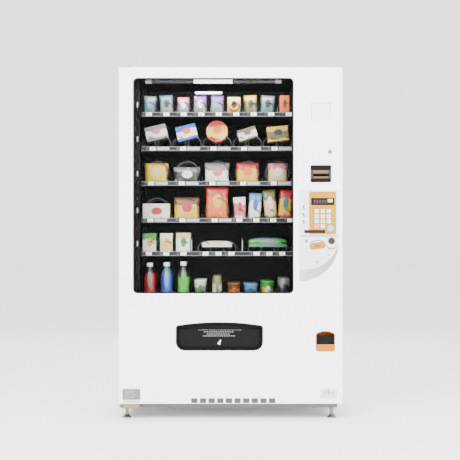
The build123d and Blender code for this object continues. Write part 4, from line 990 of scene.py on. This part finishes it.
class VENDING_OT_note_mouth(bpy.types.Operator):
    """Printed guides and cheeks in the note validator's mouth"""

    bl_idname = "vending.note_mouth"
    bl_label = "Note validator mouth"

    def execute(self, context):
        middle = centre_of("bill_validator")
        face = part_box("bill_validator")[0][1]
        rose = grained("note_guide_rose", (0.12, 0.045, 0.035), 0.4, cloud=0.8)
        gold = grained("note_guide_gold", (0.07, 0.05, 0.016), 0.4, cloud=0.8)
        lip = grained("note_lip", (0.03, 0.03, 0.035), 0.3, coat=0.4)
        path = middle.z - 0.008
        for name, slot, ink, bottom, top in (
            ("note_guide_upper", "orange_panel", rose, path + 0.009, path + 0.026),
            ("note_guide_lower", "yellow_plastic", gold, path - 0.016, path - 0.006),
        ):
            blocks(name, "door", ink, [
                ((middle.x - 0.04, face + 0.0022, bottom), (middle.x + 0.04, face + 0.0032, top)),
            ], 0.0004)
        blocks("note_cheeks", "door", lip, [
            ((x - 0.003, face - 0.001, path - 0.018), (x + 0.003, face + 0.003, path + 0.028))
            for x in (middle.x + side * 0.047 for side in (-1, 1))
        ], 0.001)
        return {"FINISHED"}


class VENDING_OT_flap_marks(bpy.types.Operator):
    """Generic push marks on the delivery flap"""

    bl_idname = "vending.flap_marks"
    bl_label = "Delivery flap marks"

    def execute(self, context):
        low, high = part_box("delivery_flap")
        ink = grained("flap_ink", (0.62, 0.6, 0.6), 0.5)
        faint = grained("flap_faint_ink", (0.2, 0.19, 0.19), 0.5)
        face = joint_at("delivery_flap_hinge")[1] - 0.002
        middle = (low[0] + high[0]) / 2
        bm = bmesh.new()
        for index in range(12):
            left = middle - 0.112 + index * 0.019
            block(bm, (left, face - SKIN, low[2] + 0.092), (left + 0.0155, face + SINK, low[2] + 0.1))
        place = Matrix.Translation((middle, face + 0.0001, low[2] + 0.032))
        lean = Matrix.Rotation(math.radians(24), 4, "Y")
        wedge = bmesh.ops.create_cone(
            bm, cap_ends=True, segments=5, radius1=0.011, radius2=0.003, depth=0.03,
            matrix=place @ lean @ Matrix.Diagonal((1, 0.03, 1, 1)),
        )["verts"]
        bmesh.ops.translate(bm, vec=(0.002, 0, 0), verts=wedge)
        finish_piece(bm, "flap_push_marks", "delivery_flap", ink)
        dashes = []
        for width, height in ((0.16, 0.081), (0.13, 0.07), (0.17, 0.06)):
            foot = low[2] + height
            for index in range(int(width / 0.012)):
                left = middle - width / 2 + index * 0.012
                dashes.append(((left, face - SKIN, foot), (left + 0.0085, face + SINK, foot + 0.0035)))
        blocks("flap_fine_marks", "delivery_flap", faint, dashes)
        return {"FINISHED"}


class VENDING_OT_plates(bpy.types.Operator):
    """Blank data plates low on the door and the screen behind the air slots"""

    bl_idname = "vending.plates"
    bl_label = "Data plates and vent screen"

    def execute(self, context):
        low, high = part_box("door_skin")
        face = low[1]
        back = face + SINK
        foil = grained("data_foil", (0.12, 0.12, 0.12), 0.45, cloud=0.5, bump=0.1)
        strip = grained("data_strip", (0.5, 0.49, 0.46), 0.5, cloud=0.4)
        pale = grained("pale_plate", (0.6, 0.6, 0.6), 0.5, cloud=0.1)
        mark = grained("plate_mark", (0.3, 0.3, 0.3), 0.5)
        mesh_grey = grained("vent_grey", (0.05, 0.05, 0.05), 0.55, cloud=0.3)
        blocks("data_plate", "door", foil, [
            ((low[0] + 0.02, face - 0.0008, 0.107), (low[0] + 0.112, back, 0.163)),
        ], 0.0003)
        bm = bmesh.new()
        block(bm, (low[0] + 0.024, face - 0.0006, 0.092), (low[0] + 0.108, back, 0.105), 0.0003)
        left = low[0] + 0.03
        for line in range(5):
            block(bm, (left, face - 0.0011, 0.116 + line * 0.009),
                  (left + 0.05 + 0.006 * (line % 3), face - 0.0006, 0.1175 + line * 0.009))
        finish_piece(bm, "data_strip", "door", strip)
        blocks("pale_plate", "door", pale, [
            ((high[0] - 0.118, face - 0.0006, 0.115), (high[0] - 0.03, back, 0.165)),
        ], 0.0003)
        marks = []
        for index in range(5):
            left = high[0] - 0.1 + index * 0.0125
            marks.append(((left, face - 0.0009, 0.135 + 0.004 * (index % 2)),
                          (left + 0.0075, face - 0.0005, 0.147 + 0.006 * (index % 3))))
        blocks("pale_plate_marks", "door", mark, marks)
        middle = joint_at("condenser_fan_spin")[0]
        bottom, top = low[2] + 0.003, low[2] + 0.031
        bars = [((middle - 0.23, face + 0.006, bottom), (middle + 0.23, face + 0.008, top))]
        for index in range(46):
            left = middle - 0.225 + index * 0.01
            bars.append(((left, face + 0.0045, bottom), (left + 0.0035, face + 0.0062, top)))
        blocks("vent_screen", "door", mesh_grey, bars)
        return {"FINISHED"}


class VENDING_OT_chamber_lamp(bpy.types.Operator):
    """Glowing stretch of the lamp tube, partly the real lamp and partly a painted reflection, as only this
    stretch glows and the rest of the tube stays dark; with its end caps, and the light the lamp gives
    """

    bl_idname = "vending.chamber_lamp"
    bl_label = "Chamber lamp"

    def execute(self, context):
        low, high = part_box("light_bar")
        middle = centre_of("light_bar")
        centre_z = low[2] + 0.013
        # partly painted reflection: the tube glows only along this stretch, matching the bright bar seen on
        # the lamp, while the lamp's real light comes from the area lights below
        lit = glowing("lamp_lit", (0.95, 0.97, 1.0), 3.0)
        caps = grained("lamp_caps", (0.3, 0.3, 0.3), 0.4)
        ends = [middle.x + side * (high[0] - low[0]) * 0.45 for side in (-1, 1)]
        for name, slot, finish, radius, depth, places in (
            ("lamp_lit_stretch", "lamp", lit, 0.0134, 0.2, (middle.x - 0.002,)),
            ("lamp_end_caps", "mech_grey", caps, 0.0146, 0.03, ends),
        ):
            bm = bmesh.new()
            for x in places:
                bmesh.ops.create_cone(
                    bm, cap_ends=True, segments=36, radius1=radius, radius2=radius, depth=depth,
                    matrix=Matrix.Translation((x, middle.y, centre_z)) @ SIDEWAYS,
                )
            finish_piece(bm, name, "door", finish)
        for name, power, height, width, depth, tilt in (
            ("chamber_top_light", 1.0, 1.735, 0.7, 0.04, 25),
            ("chamber_fill", 0.8, 1.1, 0.6, 0.9, 90),
        ):
            lamp = bpy.data.lights.new(name, "AREA")
            lamp.energy = context.scene.vending_studio.lamp * power
            lamp.shape = "RECTANGLE"
            lamp.size = width
            lamp.size_y = depth
            holder = bpy.data.objects.new(name, lamp)
            place = Matrix.Translation((middle.x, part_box("tray_1")[0][1] - 0.06, height))
            holder.matrix_world = place @ Matrix.Rotation(math.radians(tilt), 4, "X")
            context.scene.collection.objects.link(holder)
        return {"FINISHED"}


class VENDING_OT_chamber_details(bpy.types.Operator):
    """Glowing patches up the left tray upright as painted highlights, tray 5's divider edges, and a glowing
    bar below the lamp as the lamp's painted reflection
    """

    bl_idname = "vending.chamber_details"
    bl_label = "Chamber details"

    def execute(self, context):
        # painted highlights: the upright's slots are glowing patches standing for light glinting in the
        # perforations at each tray
        slot_highlight_glow = glowing("slot_zinc", (0.6, 0.6, 0.58), 0.7)
        # glow for the lamp's painted reflection inside the chamber, built below
        lit = glowing("ceiling_lamp_lit", (0.9, 0.93, 1.0), 3.0)
        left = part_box("tray_runners")[0]
        heights = [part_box(f"tray_{tray}")[0][2] + 0.065 for tray in range(1, 6)]
        blocks("upright_slots", "cabinet", slot_highlight_glow, [
            ((left[0] + 0.008, left[1] - 0.0015, height - 0.014),
             (left[0] + 0.014, left[1] + 0.0004, height + 0.014)) for height in heights
        ], 0.0018, 3)
        pale = grained("divider_edge", (0.3, 0.3, 0.3), 0.4)
        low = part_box("tray_5")[0]
        edges = [x - width / 2 for x, width in lane_middles(5)[3:]]
        blocks("divider_caps", "tray_5", pale, [
            ((edge - 0.002, low[1] + 0.0002, low[2] + 0.027), (edge + 0.002, low[1] + 0.0032, low[2] + 0.085))
            for edge in edges
        ], 0.001)
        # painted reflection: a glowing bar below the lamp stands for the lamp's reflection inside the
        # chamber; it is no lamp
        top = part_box("light_bar")[0][2]
        blocks("ceiling_lamp", "cabinet", lit, [
            ((-0.19, -0.158, top - 0.034), (-0.045, -0.142, top - 0.02)),
        ], 0.005, 3, smooth=True)
        return {"FINISHED"}


class VENDING_OT_door_details(bpy.types.Operator):
    """Door gasket, painted shade lines along the top and sides of the reader's cover, and the hinge plate's
    screws
    """

    bl_idname = "vending.door_details"
    bl_label = "Door details"

    def execute(self, context):
        rubber = grained("gasket_rubber", (0.03, 0.03, 0.03), 0.6, bump=0.1)
        steel = grained("hinge_screw", (0.35, 0.34, 0.3), 0.3, metallic=1.0)
        low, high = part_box("door_skin")
        blocks("door_gasket", "door", rubber, [
            ((a[0], high[1] + 0.0001, a[1]), (b[0], high[1] + 0.003, b[1])) for a, b in (
                ((low[0] + 0.03, high[2] - 0.05), (high[0] - 0.03, high[2] - 0.036)),
                ((low[0] + 0.03, low[2] + 0.046), (high[0] - 0.03, low[2] + 0.06)),
                ((low[0] + 0.03, low[2] + 0.0605), (low[0] + 0.044, high[2] - 0.0505)),
            )
        ], 0.001)
        # painted shade: grey lines along the top, left and right edges of the reader's cover stand for the
        # shade at the rim of its recess
        cover_shade_ink = grained("cover_groove", (0.16, 0.16, 0.17), 0.5)
        low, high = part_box("reader_blank")
        blocks("cover_groove", "door", cover_shade_ink, [
            ((a[0], low[1] - 0.0003, a[1]), (b[0], low[1] + 0.0003, b[1])) for a, b in (
                ((low[0], high[2] - 0.0025), (high[0], high[2] - 0.0005)),
                ((low[0], low[2]), (low[0] + 0.002, high[2] - 0.0025)),
                ((high[0] - 0.0016, low[2] + 0.03), (high[0], high[2] - 0.0025)),
            )
        ])
        hinge_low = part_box("hinge_brackets")[0]
        bm = bmesh.new()
        for x in (hinge_low[0] + 0.03, hinge_low[0] + 0.07):
            disc(bm, (x, CAD_BOX[0][1] + 0.0945, hinge_low[2] + 0.014), 0.005, 0.003, 6)
        finish_piece(bm, "hinge_screws", "cabinet", steel)
        return {"FINISHED"}


class VENDING_OT_studio(bpy.types.Operator):
    """Pale floor, soft lights, world and camera"""

    bl_idname = "vending.studio"
    bl_label = "Studio"

    def execute(self, context):
        scene = context.scene
        settings = scene.vending_studio
        bm = bmesh.new()
        bmesh.ops.create_grid(bm, x_segments=1, y_segments=1, size=30.0)
        mesh = bpy.data.meshes.new("floor")
        bm.to_mesh(mesh)
        bm.free()
        pale = grained("studio_floor", (0.95, 0.95, 0.95), 0.8, bump=0.0, scale=40.0, cloud=0.01)
        mesh.materials.append(pale)
        floor = bpy.data.objects.new("floor", mesh)
        scene.collection.objects.link(floor)

        world = bpy.data.worlds.new("studio_world")
        world.use_nodes = True
        world.node_tree.nodes["Background"].inputs["Color"].default_value = (1.0, 1.0, 1.0, 1.0)
        world.node_tree.nodes["Background"].inputs["Strength"].default_value = 2.4
        scene.world = world

        for name, at, energy, size in (
            ("key_light", (-2.2, -4.5, 3.6), 560.0, 2.5),
            ("fill_light", (2.8, -4.0, 2.2), 330.0, 2.5),
            ("back_light", (0.0, 3.5, 3.2), 130.0, 3.0),
        ):
            lamp = bpy.data.lights.new(name, "AREA")
            lamp.energy = energy
            lamp.size = size
            holder = bpy.data.objects.new(name, lamp)
            aim = (Vector((0, 0, 0.9)) - Vector(at)).to_track_quat("-Z", "Y")
            holder.matrix_world = Matrix.Translation(at) @ aim.to_matrix().to_4x4()
            scene.collection.objects.link(holder)

        camera_data = bpy.data.cameras.new("camera")
        camera_data.sensor_width = 36.0
        camera_data.lens = 36.0 * settings.distance / settings.view_width
        camera_data.clip_end = 60.0
        camera = bpy.data.objects.new("camera", camera_data)
        camera.location = (-0.003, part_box("door_skin")[0][1] - settings.distance, settings.eye)
        camera.rotation_euler = (math.radians(90), 0, 0)
        scene.collection.objects.link(camera)
        scene.camera = camera
        return {"FINISHED"}


class VENDING_PT_machine(bpy.types.Panel):
    """Shows the machine's settings and build steps in the sidebar"""

    bl_idname = "VENDING_PT_machine"
    bl_label = "Snack vending machine"
    bl_space_type = "VIEW_3D"
    bl_region_type = "UI"
    bl_category = "Vending"

    def draw(self, context):
        column = self.layout.column()
        scene = context.scene
        for settings in (scene.vending_finish, scene.vending_goods, scene.vending_studio):
            for name in settings.__annotations__:
                column.prop(settings, name)
        for operator in OPERATORS:
            column.operator(operator.bl_idname)


SETTINGS = (FinishSettings, GoodsSettings, StudioSettings)
OPERATORS = (
    VENDING_OT_studio,
    VENDING_OT_finishes,
    VENDING_OT_goods,
    VENDING_OT_price_tags,
    VENDING_OT_key_digits,
    VENDING_OT_control_marks,
    VENDING_OT_display,
    VENDING_OT_note_mouth,
    VENDING_OT_flap_marks,
    VENDING_OT_plates,
    VENDING_OT_chamber_lamp,
    VENDING_OT_chamber_details,
    VENDING_OT_door_details,
)


def register():
    for cls in (*SETTINGS, *OPERATORS, VENDING_PT_machine):
        bpy.utils.register_class(cls)
    bpy.types.Scene.vending_finish = PointerProperty(type=FinishSettings)
    bpy.types.Scene.vending_goods = PointerProperty(type=GoodsSettings)
    bpy.types.Scene.vending_studio = PointerProperty(type=StudioSettings)


def unregister():
    for name in ("vending_finish", "vending_goods", "vending_studio"):
        delattr(bpy.types.Scene, name)
    for cls in reversed((*SETTINGS, *OPERATORS, VENDING_PT_machine)):
        bpy.utils.unregister_class(cls)


def main():
    """Build everything in order."""
    register()
    for operator in OPERATORS:
        group, name = operator.bl_idname.split(".")
        getattr(getattr(bpy.ops, group), name)()


if __name__ == "__main__":
    main()
